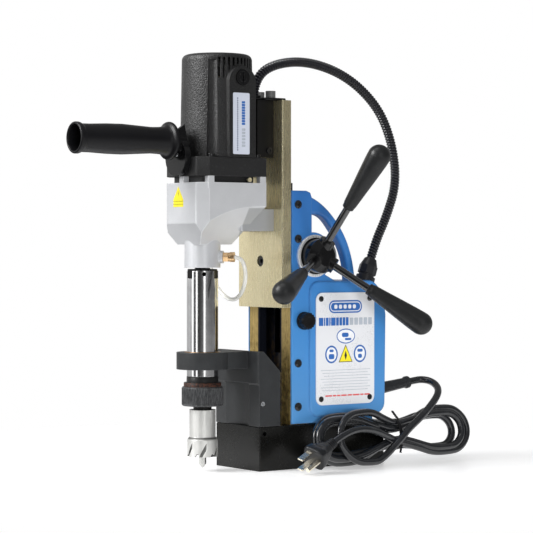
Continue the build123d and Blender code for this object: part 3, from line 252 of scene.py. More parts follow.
def finish(name, colour, rough, metal=0.0, vary=0.10, blotch=0.03, grain=0.0006, depth=0.00003,
           round_edge=0.0004, worn=None, wear=0.0, coat=0.0, speckle=0.0, specular=0.35, rough_vary=0.08,
           stretch=None, dust=0.0, coat_rough=0.12):
    """Painted, moulded or metal surface: tone that drifts, fine grain, uneven gloss and softened edges."""
    g = new_graph(name)
    drift = g.noise(blotch, 4)
    tone = g.drifting(drift, 1 - vary, 1 + vary)
    base = g.node("ShaderNodeVectorMath", {"operation": "SCALE"}, Scale=tone, **{"0": colour}).outputs[0]
    fine = g.noise(grain, 2, g.stretched(stretch) if stretch else g.place)
    if speckle:
        flecks = g.spread(g.noise(grain * 1.4, 1), 0.62, 0.74)
        lighter = tuple(min(1, c * 1.6 + 0.05) for c in colour)
        base = g.mix(g.product(flecks, speckle), base, lighter)
    if dust:
        pale = tuple(c * 0.5 + 0.3 for c in colour)
        base = g.mix(g.product(g.spread(g.noise(blotch * 0.4, 6), 0.5, 0.85), dust), base, pale)
    edge, rounded = g.edge(round_edge)
    if worn:
        ragged = g.spread(g.noise(0.002, 4), 0.35, 0.65)
        base = g.mix(g.product(g.product(edge, ragged), wear), base, worn)
    g.set("Base Color", base)
    g.set("Metallic", metal)
    gloss = g.math("ADD", g.product(drift, 0.6), g.product(fine, 0.4))
    g.set("Roughness", g.drifting(gloss, max(0.02, rough - rough_vary), rough + rough_vary))
    g.set("Specular IOR Level", specular)
    g.set("Coat Weight", coat)
    g.set("Coat Roughness", coat_rough)
    g.set("Normal", g.bump(fine, depth, rounded))
    return g.material


finishes = {
    "magnet_enamel": dict(colour=(0.0045, 0.0045, 0.004), rough=0.28, vary=0.25, blotch=0.03,
                          grain=0.0016, depth=0.00001, round_edge=0.0009, worn=(0.10, 0.10, 0.10),
                          wear=0.25, coat=0.1, specular=0.20, rough_vary=0.04),
    "winding": dict(colour=(0.45, 0.16, 0.05), rough=0.35, metal=0.9, stretch=(1, 1, 6)),
    "potting": dict(colour=(0.05, 0.045, 0.04), rough=0.35, grain=0.003, depth=0.0001),
    "dark_steel": dict(colour=(0.010, 0.010, 0.011), rough=0.24, metal=0.2, vary=0.2, grain=0.0003,
                       specular=0.8, depth=0.00001, round_edge=0.00035, worn=(0.22, 0.22, 0.22),
                       wear=0.5),
    "bright_steel": dict(colour=(0.62, 0.63, 0.65), rough=0.2, metal=1, grain=0.0003, depth=0.000006),
    "support_paint": dict(colour=(0.0235, 0.025, 0.0265), rough=0.48, vary=0.14, blotch=0.012,
                          grain=0.0008, depth=0.00006, round_edge=0.0011, worn=(0.16, 0.165, 0.17),
                          wear=0.3, speckle=0.12),
    "bronze": dict(colour=(0.36, 0.21, 0.09), rough=0.35, metal=1),
    "blue_coat": dict(colour=(0.050, 0.225, 0.54), rough=0.38, vary=0.06, blotch=0.05, grain=0.0009,
                      depth=0.00004, round_edge=0.0016, worn=(0.12, 0.33, 0.80), wear=0.35, coat=0.3,
                      rough_vary=0.05),
    "black_plastic": dict(colour=(0.006, 0.006, 0.0065), rough=0.22, grain=0.0008, depth=0.00002,
                          round_edge=0.0006, coat=0.05, specular=0.35),
    "gland_nylon": dict(colour=(0.014, 0.014, 0.016), rough=0.36, grain=0.0006, depth=0.00002,
                        round_edge=0.0005, worn=(0.08, 0.08, 0.08), wear=0.3),
    "circuit_board": dict(colour=(0.02, 0.14, 0.05), rough=0.4),
    "panel_plastic": dict(colour=(0.02, 0.02, 0.022), rough=0.5, grain=0.0004, depth=0.00004,
                          round_edge=0.0006),
    "green_button": dict(colour=(0.01, 0.28, 0.05), rough=0.25, coat=0.5, round_edge=0.0006),
    "red_button": dict(colour=(0.48, 0.012, 0.01), rough=0.25, coat=0.5, round_edge=0.0006),
    "rocker_plastic": dict(colour=(0.02, 0.02, 0.02), rough=0.25, coat=0.4, round_edge=0.0006),
    "ground_steel": dict(colour=(0.42, 0.43, 0.45), rough=0.26, metal=1, grain=0.0003, depth=0.00001),
    "black_oxide": dict(colour=(0.004, 0.004, 0.0045), rough=0.20, vary=0.2, grain=0.0006, depth=0.00001,
                        round_edge=0.0006, worn=(0.12, 0.12, 0.12), wear=0.3, coat=0.2),
    "black_gloss_rod": dict(colour=(0.003, 0.003, 0.0035), rough=0.10, vary=0.15, depth=0.000002,
                            coat=1.0, rough_vary=0.03, specular=0.9, coat_rough=0.04),
    "knob_plastic": dict(colour=(0.011, 0.0115, 0.012), rough=0.36, vary=0.2, blotch=0.015, grain=0.0005,
                         depth=0.000035, speckle=0.05, rough_vary=0.06),
    "slide_black": dict(colour=(0.012, 0.014, 0.022), rough=0.22, metal=0.3, stretch=(1, 1, 0.1)),
    "bracket_black": dict(colour=(0.006, 0.006, 0.006), rough=0.36, vary=0.15, grain=0.0007,
                          round_edge=0.0006, worn=(0.09, 0.09, 0.09), wear=0.35),
    "motor_shell": dict(colour=(0.004, 0.004, 0.0043), rough=0.46, specular=0.70, vary=0.10, blotch=0.02,
                        grain=0.0015, depth=0.00070, round_edge=0.0010, speckle=0.25, rough_vary=0.14),
    "flange_black": dict(colour=(0.008, 0.008, 0.0085), rough=0.46, specular=0.7, vary=0.12, grain=0.0012,
                         depth=0.00025, round_edge=0.0009, speckle=0.3, worn=(0.12, 0.12, 0.12),
                         wear=0.2),
    "lamination": dict(colour=(0.10, 0.095, 0.09), rough=0.4, metal=0.8, stretch=(0.1, 0.1, 4)),
    "grip_rubber": dict(colour=(0.005, 0.005, 0.006), rough=0.38, specular=0.30, vary=0.15, grain=0.0006,
                        depth=0.00003, round_edge=0.0008, rough_vary=0.05),
    "fitting_brass": dict(colour=(0.84, 0.56, 0.30), rough=0.24, metal=0.9, grain=0.0004, depth=0.00001,
                          round_edge=0.0003, worn=(0.98, 0.86, 0.62), wear=0.6, vary=0.2, blotch=0.004),
    "pale_brass": dict(colour=(0.78, 0.70, 0.46), rough=0.34, metal=0.6, grain=0.0004, depth=0.00001),
    "armature_steel": dict(colour=(0.32, 0.26, 0.2), rough=0.35, metal=0.9),
    "cutter_steel": dict(colour=(0.64, 0.64, 0.62), rough=0.36, metal=0.7, grain=0.0006, depth=0.00002,
                         round_edge=0.0005, stretch=(1, 1, 5), vary=0.06, blotch=0.012,
                         worn=(0.9, 0.9, 0.9), wear=0.8),
    "pin_steel": dict(colour=(0.62, 0.62, 0.6), rough=0.22, metal=1, grain=0.0004, depth=0.00001),
    "relief_rubber": dict(colour=(0.022, 0.023, 0.025), rough=0.36, grain=0.0006, depth=0.00003,
                          round_edge=0.0006),
    "cord_rubber": dict(colour=(0.009, 0.010, 0.012), rough=0.22, vary=0.2, blotch=0.02, grain=0.0005,
                        depth=0.00001, dust=0.05, coat=0.4, specular=0.6, rough_vary=0.05),
    "tie_plastic": dict(colour=(0.006, 0.006, 0.007), rough=0.35, grain=0.0004, depth=0.00002),
    "plug_plastic": dict(colour=(0.008, 0.0085, 0.010), rough=0.30, grain=0.0005, depth=0.00003,
                         round_edge=0.0008, dust=0.02),
    "prong_brass": dict(colour=(0.86, 0.80, 0.66), rough=0.24, metal=1, grain=0.0003, depth=0.000004,
                        round_edge=0.0002),
    "conduit_black": dict(colour=(0.006, 0.006, 0.009), rough=0.22, vary=0.15, grain=0.0008,
                          depth=0.00001, coat=0.25, specular=0.55),
    "plate_face": dict(colour=(0.80, 0.81, 0.84), rough=0.30, metal=0.15, vary=0.02, blotch=0.05,
                       grain=0.001, depth=0.00001, round_edge=0.0004, coat=0.2),
    "label_foil": dict(colour=(0.66, 0.70, 0.80), rough=0.35, metal=0.2, vary=0.04, blotch=0.03,
                       grain=0.001, depth=0.00001),
    "collar_steel": dict(colour=(0.075, 0.077, 0.080), rough=0.46, metal=0.3, vary=0.25, grain=0.0012,
                         depth=0.00012, round_edge=0.0006, speckle=0.35),
}
inks = {"print_blue": (0.03, 0.13, 0.42), "print_white": (0.80, 0.81, 0.84), "print_grey": (0.42, 0.46, 0.52),
        "print_slate": (0.14, 0.17, 0.26), "print_ink": (0.03, 0.03, 0.03), "print_olive": (0.42, 0.36, 0.02),
        "print_yellow": (0.86, 0.74, 0.03), "print_red": (0.72, 0.10, 0.10)}
for name, colour in inks.items():
    finishes[name] = dict(colour=colour, rough=0.38, vary=0.06, blotch=0.006, grain=0.0008, depth=0.000004)
looks = {name: finish(name, **settings) for name, settings in finishes.items()}


def recoloured(material, where, colour, rough=None):
    """Lay another colour, and another roughness if given, over a finish where the mask is 1."""
    g = Graph(material)
    mask = where(g)
    old_colour, old_rough = (g.shader.inputs[key].links[0].from_socket for key in ("Base Color", "Roughness"))
    g.set("Base Color", g.mix(mask, old_colour, colour))
    if rough is not None:
        g.set("Roughness", g.between(mask, old_rough, rough))
    return material


def polished_sleeve():
    """Ground and polished steel: faint turning rings and bands of uneven gloss."""
    g = new_graph("polished_sleeve")
    rings = g.noise(0.0004, 2, g.stretched((0.02, 0.02, 1)))
    drift = g.noise(0.015, 3)
    g.set("Base Color", g.mix(g.drifting(drift), (0.64, 0.64, 0.65), (0.80, 0.80, 0.81)))
    g.set("Metallic", 1.0)
    g.set("Roughness", g.drifting(rings, 0.10, 0.17))
    g.set("Normal", g.bump(rings, 0.000004, g.edge(0.0004)[1]))
    return g.material


def anodised(name, colour, deep, rough, metal):
    """Anodised aluminium: machining lines under a coloured oxide, with cloudy tone and a painted highlight
    along the edges.
    """
    g = new_graph(name)
    lines = g.noise(0.0006, 2, g.stretched((1, 1, 0.04)))
    cloud = g.noise(0.03, 4)
    tone = g.spread(g.math("ADD", g.product(cloud, 0.7), g.product(lines, 0.3)), 0.35, 0.65)
    edge, rounded = g.edge(0.0007)
    base = g.mix(tone, deep, colour)
    paler = tuple(min(1, c * 1.25 + 0.04) for c in colour)
    # painted highlight: the edges are laid paler
    g.set("Base Color", g.mix(g.product(edge, 0.6), base, paler))
    g.set("Metallic", metal)
    g.set("Roughness", g.drifting(lines, rough - 0.06, rough + 0.06))
    g.set("Normal", g.bump(lines, 0.000012, rounded))
    return g.material


def silver_paint():
    """Fine silver paint over a casting: slight orange peel and metal flake, with a painted highlight along
    the edges.
    """
    g = new_graph("silver_paint")
    drift = g.noise(0.04, 4)
    flake = g.noise(0.0004, 1)
    edge, rounded = g.edge(0.0013)
    base = g.mix(g.drifting(drift), (0.57, 0.58, 0.60), (0.64, 0.65, 0.67))
    base = g.mix(g.product(g.spread(flake, 0.5, 0.75), 0.25), base, (0.85, 0.86, 0.88))
    # painted highlight: the edges are laid paler
    g.set("Base Color", g.mix(g.product(edge, 0.75), base, (0.93, 0.94, 0.96)))
    g.set("Metallic", 0.35)
    g.set("Roughness", g.drifting(drift, 0.36, 0.46))
    peel = g.noise(0.0016, 3)
    g.set("Normal", g.bump(peel, 0.00003, rounded))
    return g.material


def clear_hose():
    """Milky clear tube."""
    g = new_graph("clear_hose")
    cloud = g.noise(0.01, 3)
    g.set("Base Color", g.mix(g.drifting(cloud), (0.93, 0.93, 0.88), (0.98, 0.98, 0.95)))
    g.set("Roughness", 0.12)
    g.set("Transmission Weight", 0.40)
    g.set("IOR", 1.38)
    g.set("Normal", g.bump(g.noise(0.002, 2), 0.00002))
    return g.material


looks["polished_sleeve"] = polished_sleeve()
looks["gold_anodised"] = anodised("gold_anodised", (0.58, 0.43, 0.17), (0.44, 0.31, 0.10), 0.30, metal=0.7)
looks["tan_anodised"] = anodised("tan_anodised", (0.96, 0.86, 0.56), (0.90, 0.79, 0.50), 0.28, metal=0.90)
looks["turned_aluminium"] = anodised("turned_aluminium", (0.92, 0.93, 0.94), (0.84, 0.85, 0.86), 0.30,
                                     metal=0.6)
looks["silver_paint"] = silver_paint()
looks["clear_hose"] = clear_hose()

# Places where one piece changes colour, in metres. A line is given by a point on it and a mask of the
# axes square to it.
spindle_line = ((0, -0.1266, 0), (1, 1, 0))
capstan_line = ((0, -0.0125, 0.223), (0, 1, 1))
recoloured(looks["polished_sleeve"],  # painted shade in the notches and on the shoulder below the neck
           lambda g: g.product(g.above("Z", 0.1988, 0.1992), g.inside(*spindle_line, 0.01600, 0.01615)),
           (0.03, 0.03, 0.03), 0.45)
recoloured(looks["gold_anodised"],  # the column's groove is blackened
           lambda g: g.product(g.above("Y", -0.0404, -0.0400), g.product(
               g.above("Z", 0.099, 0.0994), g.middle("X", 0.0264, 0.0268))),
           (0.006, 0.008, 0.014), 0.2)
recoloured(looks["gold_anodised"],  # mottled painted shade and dark reflection low on the column
           lambda g: g.product(g.spread(g.noise(0.006, 5), 0.42, 0.60, 0, 0.65), g.below("Z", 0.10, 0.17)),
           (0.09, 0.055, 0.014))
recoloured(looks["turned_aluminium"],  # the hub ring is dark inside
           lambda g: g.inside(*capstan_line, 0.0192, 0.0194), (0.008, 0.008, 0.008), 0.3)
recoloured(looks["blue_coat"],  # painted shade, deeper towards the top
           lambda g: g.product(g.above("Z", 0.15, 0.30), 0.55), (0.014, 0.075, 0.34))
recoloured(looks["blue_coat"],  # painted light, paler at the foot
           lambda g: g.product(g.below("Z", 0.05, 0.14), 0.3), (0.15, 0.36, 0.62))
recoloured(looks["dark_steel"],  # the top cap's screws are paler
           lambda g: g.above("Z", 0.385, 0.386), (0.14, 0.14, 0.14), 0.3)
recoloured(looks["silver_paint"],  # painted shade on the foot behind the gearbox
           lambda g: g.product(g.above("Y", -0.0940, -0.0925), g.below("Z", 0.2722, 0.2728)),
           (0.40, 0.41, 0.42))
recoloured(looks["collar_steel"],  # upright streaks
           lambda g: g.spread(g.noise(0.0013, 2, g.stretched((1, 1, 0.25))), 0.44, 0.58),
           (0.036, 0.037, 0.039))
recoloured(looks["collar_steel"],  # the ring above the knurl, then its brown patches
           lambda g: g.above("Z", 0.0880, 0.0882), (0.012, 0.010, 0.010), 0.5)
recoloured(looks["collar_steel"],
           lambda g: g.product(g.above("Z", 0.0880, 0.0882), g.spread(g.noise(0.0018, 3), 0.44, 0.50)),
           (0.070, 0.030, 0.020), 0.6)
recoloured(looks["collar_steel"],  # the neck above that ring
           lambda g: g.above("Z", 0.0921, 0.0923), (0.014, 0.014, 0.014), 0.4)
recoloured(looks["cutter_steel"],  # the stub below the collar
           lambda g: g.above("Z", 0.0638, 0.0640), (0.02, 0.02, 0.02), 0.4)
recoloured(looks["cutter_steel"],  # painted shade between the flutes
           lambda g: g.product(g.below("Z", 0.0355, 0.0360), g.inside(*spindle_line, 0.0150, 0.0156)),
           (0.16, 0.16, 0.155), 0.5)
recoloured(looks["bright_steel"],  # the magnet's own side screw is black
           lambda g: g.below("Z", 0.0440, 0.0442), (0.01, 0.01, 0.01), 0.35)

slots = {row["node"]: row["material_slot"] for row in frame["record"]["subparts"]}
for name, obj in nodes.items():
    obj.data.materials.clear()
    obj.data.materials.append(looks[slots[name]])


# ---- floor -----------------------------------------------------------------------------------
def floor_white():
    """White floor that fades into the backdrop with distance."""
    g = new_graph("floor_white")
    far = g.vector_math("LENGTH", **{"0": g.place})
    g.set("Base Color", (0.86, 0.86, 0.86))
    g.set("Roughness", g.drifting(g.noise(0.2, 2), 0.30, 0.36))
    g.set("Emission Color", (1, 1, 1))
    g.set("Emission Strength", 0.40)
    g.set("Alpha", g.spread(far, 0.20, 0.55, 1.0, 0.0))
    return g.material


def link(name, mesh, body=None, material=None):
    """New object for a mesh, riding on a body and taking a material; the record has no slot for inks."""
    obj = bpy.data.objects.new(name, mesh)
    scene.collection.objects.link(obj)
    if material:
        mesh.materials.append(looks[material])
    if body:
        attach(obj, body)
    return obj


floor_radius, floor_sides, floor_z = 1.6, 96, -0.0002
floor_mesh = bpy.data.meshes.new("floor")
rim = [(floor_radius * cos(2 * pi * i / floor_sides), floor_radius * sin(2 * pi * i / floor_sides), floor_z)
       for i in range(floor_sides)]
floor_mesh.from_pydata(rim, [], [list(range(floor_sides))])
floor = link("floor", floor_mesh)
floor_mesh.materials.append(floor_white())


# ---- mesh tools ------------------------------------------------------------------------------
def smooth_mesh(mesh, angle=35):
    """Smooth shading that keeps edges sharper than an angle."""
    mesh.polygons.foreach_set("use_smooth", [True] * len(mesh.polygons))
    mesh.set_sharp_from_angle(angle=radians(angle))


def grid_mesh(name, rings, loop=False, caps=True, angle=35):
    """Skin over rings of points, each with the same number of points; loop joins the last to the first."""
    count = len(rings[0])
    points = [tuple(p) for ring in rings for p in ring]
    faces = []
    for i in range(len(rings) if loop else len(rings) - 1):
        for j in range(count):
            a, b = i * count + j, i * count + (j + 1) % count
            up = count if i < len(rings) - 1 else -i * count
            faces.append((a, b, b + up, a + up))
    if caps:
        faces.append(tuple(reversed(range(count))))
        faces.append(tuple(range((len(rings) - 1) * count, len(rings) * count)))
    mesh = bpy.data.meshes.new(name)
    mesh.from_pydata(points, [], faces)
    mesh.update()
    smooth_mesh(mesh, angle)
    return mesh


def basis(axis):
    """Two unit vectors square to an axis and to each other."""
    axis = Vector(axis).normalized()
    side = axis.cross(Z if abs(axis.z) < 0.9 else X).normalized()
    return side, axis.cross(side)


def lathe(name, origin, axis, profile, sides, ripple=None, angle=35):
    """Surface of revolution about an axis through an origin in metres: profile holds (distance along
    the axis, radius) in millimetres, and ripple(along, turn) adds to the radius."""
    axis = Vector(axis).normalized()
    a, b = basis(axis)
    rings = []
    for along, radius in profile:
        ring = []
        for j in range(sides):
            turn = 2 * pi * j / sides
            r = radius + (ripple(along, turn) if ripple else 0)
            ring.append(Vector(origin) + (axis * along + (a * cos(turn) + b * sin(turn)) * r) * MM)
        rings.append(ring)
    return grid_mesh(name, rings, caps=False, angle=angle)


def eased(profile, radius):
    """Profile with its corners rounded to about a radius."""
    steps = 4
    out = [profile[0]]
    for before, here, after in zip(profile, profile[1:], profile[2:]):
        p, q, r = Vector(before), Vector(here), Vector(after)
        reach = min(radius, (q - p).length * 0.45, (r - q).length * 0.45)
        start, end = q + (p - q).normalized() * reach, q + (r - q).normalized() * reach
        for i in range(steps + 1):
            t = i / steps
            out.append(tuple(start * (1 - t) ** 2 + q * 2 * t * (1 - t) + end * t**2))
    return out + [profile[-1]]


def nurbs(name, points, diameter=None, resolution=8):
    """Smooth curve on control points in millimetres; a tube if it has a diameter."""
    curve = bpy.data.curves.new(name, "CURVE")
    curve.dimensions = "3D"
    spline = curve.splines.new("NURBS")
    spline.points.add(len(points) - 1)
    for point, place in zip(spline.points, points):
        point.co = (*(Vector(place) * MM), 1)
    spline.order_u = 3
    spline.use_endpoint_u = True
    curve.resolution_u = resolution
    if diameter:
        curve.bevel_depth = diameter * MM / 2
        curve.bevel_resolution = 6
        curve.use_fill_caps = True
    obj = bpy.data.objects.new(name, curve)
    scene.collection.objects.link(obj)
    return obj


def line_of(points):
    """Points along the smooth curve on control points, in metres."""
    bare = nurbs("line", points, resolution=24)
    mesh = bpy.data.meshes.new_from_object(bare)
    line = np.array([v.co for v in mesh.vertices], float).reshape(-1, 3)
    bpy.data.meshes.remove(mesh)
    bpy.data.curves.remove(bare.data)
    return line


def tube(name, line, radius_at, step, sides):
    """Mesh tube along a line, with a radius in millimetres for each distance along it, and its rings'
    centres."""
    along = np.concatenate([[0], np.cumsum(np.linalg.norm(np.diff(line, axis=0), axis=1))])
    count = int(along[-1] / (step * MM))
    at = np.linspace(0, along[-1], count + 1)
    centres = np.stack([np.interp(at, along, line[:, k]) for k in range(3)], axis=1)
    heading = np.gradient(centres, axis=0)
    side = basis(heading[0])[0]
    rings = []
    for place, forward, distance in zip(centres, heading, at):
        forward = Vector(forward).normalized()
        side = (side - forward * side.dot(forward)).normalized()
        up = forward.cross(side)
        radius = radius_at(distance / MM) * MM
        rings.append([Vector(place) + (side * cos(2 * pi * j / sides) + up * sin(2 * pi * j / sides)) * radius
                      for j in range(sides)])
    return grid_mesh(name, rings, angle=60), centres.tolist()


# ---- mains lead: relief, cord, tied hank and plug, in millimetres ----------------------------
def toward(point, direction, distance):
    return Vector(point) + Vector(direction).normalized() * distance


relief_start, relief_axis, relief_length = (20, 76, 76), (0, 50, 7), 57
relief_end = toward(relief_start, relief_axis, relief_length)

hank_yaw, hank_lean = radians(7.2), radians(12)
hank_centre = Vector((55, 84, 31.2))
hank_along = Vector((-sin(hank_yaw), cos(hank_yaw), 0))
hank_side = Vector((cos(hank_yaw) * cos(hank_lean), sin(hank_yaw) * cos(hank_lean), sin(hank_lean)))
hank_up = hank_side.cross(hank_along)


def in_hank(u, v, w):
    """Point of the hank: u along it, v up, w out from the base."""
    return hank_centre + hank_along * u + hank_up * v + hank_side * w


def lobe(end, top, bottom, out, waist_in, waist_out, rising):
    """Half a turn of the hank, from the waist round one lobe's end and back.

    end is the lobe's reach along the hank and out its depth. The end is about a half circle as high
    as the lobe.
    """
    inward = -math.copysign(1, end)

    def run(height, waist):
        """Points from beside the waist to the end."""
        v, w = waist
        size = abs(height)
        straight = end + inward * 1.45 * size
        return [
            (0.35 * straight, 0.45 * v + 0.55 * height * 0.85, 0.5 * (w + out)),
            (0.68 * straight, height * 0.97, out),
            (straight, height, out),
            (end + inward * 0.64 * size, height * 0.93, out),
            (end, height * 0.38, out),
        ]

    first, second = (bottom, top) if rising else (top, bottom)
    return run(first, waist_in) + run(second, waist_out)[::-1]


# Each turn: front end, its top and bottom, its depth; rear end, its top and bottom, its depth;
# then where it crosses the waist at the top and at the bottom.
hank_turns = [
    (-89, 25.5, -28.0, 8.0, 103, 19, -19, 4.5, (10.5, 4.5), (-4.5, 5.0)),
    (-113, 21.0, -21.5, 1.0, 94, 17.5, -17, -2.5, (4.0, -3.5), (-11, -3.0)),
    (-104, 18.0, -17.0, -5.5, 99, 20, -19, -6.5, (11.0, -4.5), (-4.5, -4.5)),
    (-109, 25.0, -25.0, -8.5, 114, 24.5, -24.0, 2.0, (3.5, 4.5), (-10.0, 7.0)),
]
hank_points = []
previous = (-6.0, 12.0)
for front, top_f, bottom_f, depth_f, rear, top_r, bottom_r, depth_r, waist_top, waist_bottom in hank_turns:
    hank_points += lobe(front, top_f, bottom_f, depth_f, previous, waist_top, True)
    hank_points.append((0, *waist_top))
    hank_points += lobe(rear, top_r, bottom_r, depth_r, waist_top, waist_bottom, False)
    hank_points.append((0, *waist_bottom))
    previous = waist_bottom

plug_axis = Vector((0.193, -0.893, -0.403)).normalized()
plug_nose = Vector((89.3, -50.7, 15.6))
plug_side = Vector((0.888, 0.336, -0.315))
plug_side = (plug_side - plug_axis * plug_side.dot(plug_axis)).normalized()
plug_up = plug_axis.cross(plug_side)
plug_tail = plug_nose - plug_axis * 37

cord_points = [relief_end, toward(relief_end, relief_axis, 7), (22.5, 149, 86.3), (31, 155.5, 84.8),
               (43, 155.5, 79.5), (54, 147.5, 72.5), (61, 133.5, 63), (66, 114, 50), (67, 94, 37),
               in_hank(-6, -7, 14.5)]
cord_points += [in_hank(*p) for p in hank_points[1:]]
cord_points += [in_hank(-20, -3.5, 11), in_hank(-42, 5, 13.5), in_hank(-66, 8, 14.3),
                plug_tail - plug_axis * 17, plug_tail]
power_cord = nurbs("mains_cord", cord_points, 7.8)
power_cord.data.materials.append(looks["cord_rubber"])
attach(power_cord, "frame")
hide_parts("power_cord", "cord_hank")


def strip_loop(name, centre, a, b, across, half_a, half_b, width, thickness):
    """Flat band wound once round a rounded rectangle."""
    corner, count = 3.2, 56
    rings = []
    for i in range(count):
        turn = 2 * pi * i / count
        c, s = cos(turn), sin(turn)
        grow = (abs(c / half_a) ** corner + abs(s / half_b) ** corner) ** (-1 / corner)
        ring = []
        for du, dr in ((-0.5, -0.35), (-0.42, -0.5), (0.42, -0.5), (0.5, -0.35),
                       (0.5, 0.35), (0.42, 0.5), (0, 0.62), (-0.42, 0.5), (-0.5, 0.35)):
            r = grow + dr * thickness
            ring.append((centre + a * (c * r) + b * (s * r) + across * (du * width)) * MM)
        rings.append(ring)
    return grid_mesh(name, rings, loop=True, caps=False)


tie_mesh = strip_loop("cord_tie_band", hank_centre, hank_up, hank_side, hank_along, 15.9, 11.2, 4.6, 1.3)
tie = link("cord_tie_band", tie_mesh, "frame", "tie_plastic")
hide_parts("cord_tie")


def twisted_strip(name, start, heading, length, turns, width, thickness):
    """Flat strip twisted about its own length."""
    heading = Vector(heading).normalized()
    a, b = basis(heading)
    rings = []
    steps = 36
    for i in range(steps + 1):
        turn = 2 * pi * turns * i / steps
        p = Vector(start) + heading * (length * i / steps) + a * (1.2 * sin(1.6 * i / steps))
        u, v = a * cos(turn) + b * sin(turn), b * cos(turn) - a * sin(turn)
        rings.append([(p + u * (x * width) + v * (y * thickness)) * MM
                      for x, y in ((-0.5, -0.5), (0.5, -0.5), (0.5, 0.5), (-0.5, 0.5))])
    return grid_mesh(name, rings)


tail_width, tail_thickness = 2.6, 1.1
tail_up = link("cord_tie_tail_up", twisted_strip(
    "tail_up", in_hank(-2, 14.5, 11.5), hank_up * 0.8 - hank_along * 0.8 + hank_side * 0.25, 13, 2.5,
    tail_width, tail_thickness), "frame", "tie_plastic")
tail_down = link("cord_tie_tail_down", twisted_strip(
    "tail_down", in_hank(-2, -13.5, 11.8), -hank_up * 0.9 - hank_along * 0.5 + hank_side * 0.2, 9, 1.5,
    tail_width, tail_thickness), "frame", "tie_plastic")


def plug_section(depth, width, height, power):
    """Ring of the plug's moulding at a depth behind its face; power 2 is an oval, more is squarer."""
    count = 40
    ring = []
    for i in range(count):
        c, s = cos(2 * pi * i / count), sin(2 * pi * i / count)
        grow = (abs(c) ** power + abs(s) ** power) ** (-1 / power)
        ring.append((plug_nose - plug_axis * depth + plug_side * (c * grow * width / 2)
                     + plug_up * (s * grow * height / 2)) * MM)
    return ring


plug_stations = [
    (0.0, 21.0, 19.0, 5), (0.3, 23.4, 21.4, 5), (1.2, 24.6, 22.6, 5), (2.4, 25.0, 23.0, 4.6),
    (7.0, 24.8, 22.8, 4.4), (9.0, 24.2, 22.0, 4.2), (11.0, 22.4, 19.4, 4), (13.0, 21.0, 17.4, 3.8),
    (16.0, 19.8, 16.4, 3.4), (19.0, 18.6, 15.6, 3), (22.0, 17.0, 14.8, 2.6), (24.0, 14.6, 13.6, 2.2)]
for rib in range(4):  # ribs of the plug's own strain relief
    foot = 24.6 + rib * 3.0
    size = 12.8 - rib * 0.75
    plug_stations += [(foot, size - 2.0, size - 2.0, 2), (foot + 0.3, size - 0.2, size - 0.2, 2),
                      (foot + 0.6, size, size, 2), (foot + 1.9, size - 0.1, size - 0.1, 2),
                      (foot + 2.2, size - 0.4, size - 0.4, 2), (foot + 2.5, size - 2.0, size - 2.0, 2)]
plug = link("plug_moulding", grid_mesh("plug_moulding", [plug_section(*s) for s in plug_stations], angle=50),
            "frame", "plug_plastic")
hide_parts("plug_body")

relief_profile = [(0, 8.4), (9, 8.4), (9.5, 7.2), (10.5, 6.7), (20, 6.35), (36, 5.9), (51.5, 5.45),
                  (52.6, 6.7), (56.2, 6.7), (57, 6.3), (57, 4.2), (54, 4.0)]
relief = link("relief_sleeve", lathe("relief_sleeve", Vector(relief_start) * MM, relief_axis,
                                     [(0, 0.5)] + eased(relief_profile, 0.6), 48), "frame", "relief_rubber")
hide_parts("strain_relief")

# ---- conduit and coolant hose ----------------------------------------------------------------
gland_foot, gland_axis = Vector((20, 70.5, 193)), Vector((0, 0.33, 0.944))
conduit_start = toward(gland_foot, gland_axis, 24)
conduit_points = [conduit_start, toward(conduit_start, gland_axis, 24), (20, 101, 264), (20, 116, 302),
                  (20, 110, 346), (19.5, 90, 386), (15, 50, 418), (8.5, 0, 432), (2.5, -44, 425),
                  (0, -62, 405), (0, -62, 386)]
rib_pitch, rib_foot, rib_height = 3.1, 3.7, 1.5
conduit_mesh, conduit_path = tube(
    "conduit_sheath", line_of(conduit_points),
    lambda d: rib_foot + rib_height * abs(sin(pi * d / rib_pitch)) ** 0.6, rib_pitch / 8, 22)
conduit = link("conduit_sheath", conduit_mesh, None, "conduit_black")
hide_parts("conduit")
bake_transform(conduit)

spindle_y, coolant_z = -126.6, 222.0
fitting_reach = 31 / math.sqrt(2)  # the fittings point back and out at 45 degrees
hose_right = [(fitting_reach, spindle_y + fitting_reach, coolant_z), (28.7, -97.9, coolant_z),
              (32, -94.6, 210), (29.2, -92.5, 196), (17, -90, 182)]
hose_points = hose_right + [(0, -89, 176)] + [(-x, y, z) for x, y, z in reversed(hose_right)]
hose_radius = 2.1
hose_mesh, hose_path = tube("coolant_tube", line_of(hose_points), lambda d: hose_radius, 1.2, 20)
hose = link("coolant_tube", hose_mesh, "carriage", "clear_hose")
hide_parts("coolant_hose")
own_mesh(hose)

# ---- side handle and capstan knobs -----------------------------------------------------------
handle_z, handle_start = 341, -165.5
grip_profile = [
    (-0.5, 3), (0, 16), (1.0, 19.6), (4.5, 19.6), (6.5, 15.6), (9.0, 14.5), (16, 13.8), (24.5, 13.5),
    (40, 14.4), (59.5, 15.5), (78, 15.3), (96.5, 14.4), (107.0, 14.3), (109.5, 16.0), (113.5, 16.0),
    (114.5, 15.0), (114.4, 13.6), (112, 12.9), (98, 12.1), (97, 0.4)]
grip = link("grip_moulding", lathe("grip_moulding", Vector((0, handle_start, handle_z)) * MM, (0, -1, 0),
                                   eased(grip_profile, 1.6), 72), "carriage", "grip_rubber")
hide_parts("side_handle")

spoke_origin = Vector((49, -12.5, 223))
spoke_tilt = radians(35)
spoke_angles = (78, -42, -160)
knob_ball, ball_at = 12.0, 128


def spoke_direction(angle):
    flat = cos(spoke_tilt)
    return Vector((sin(spoke_tilt), flat * cos(radians(angle)), flat * sin(radians(angle))))


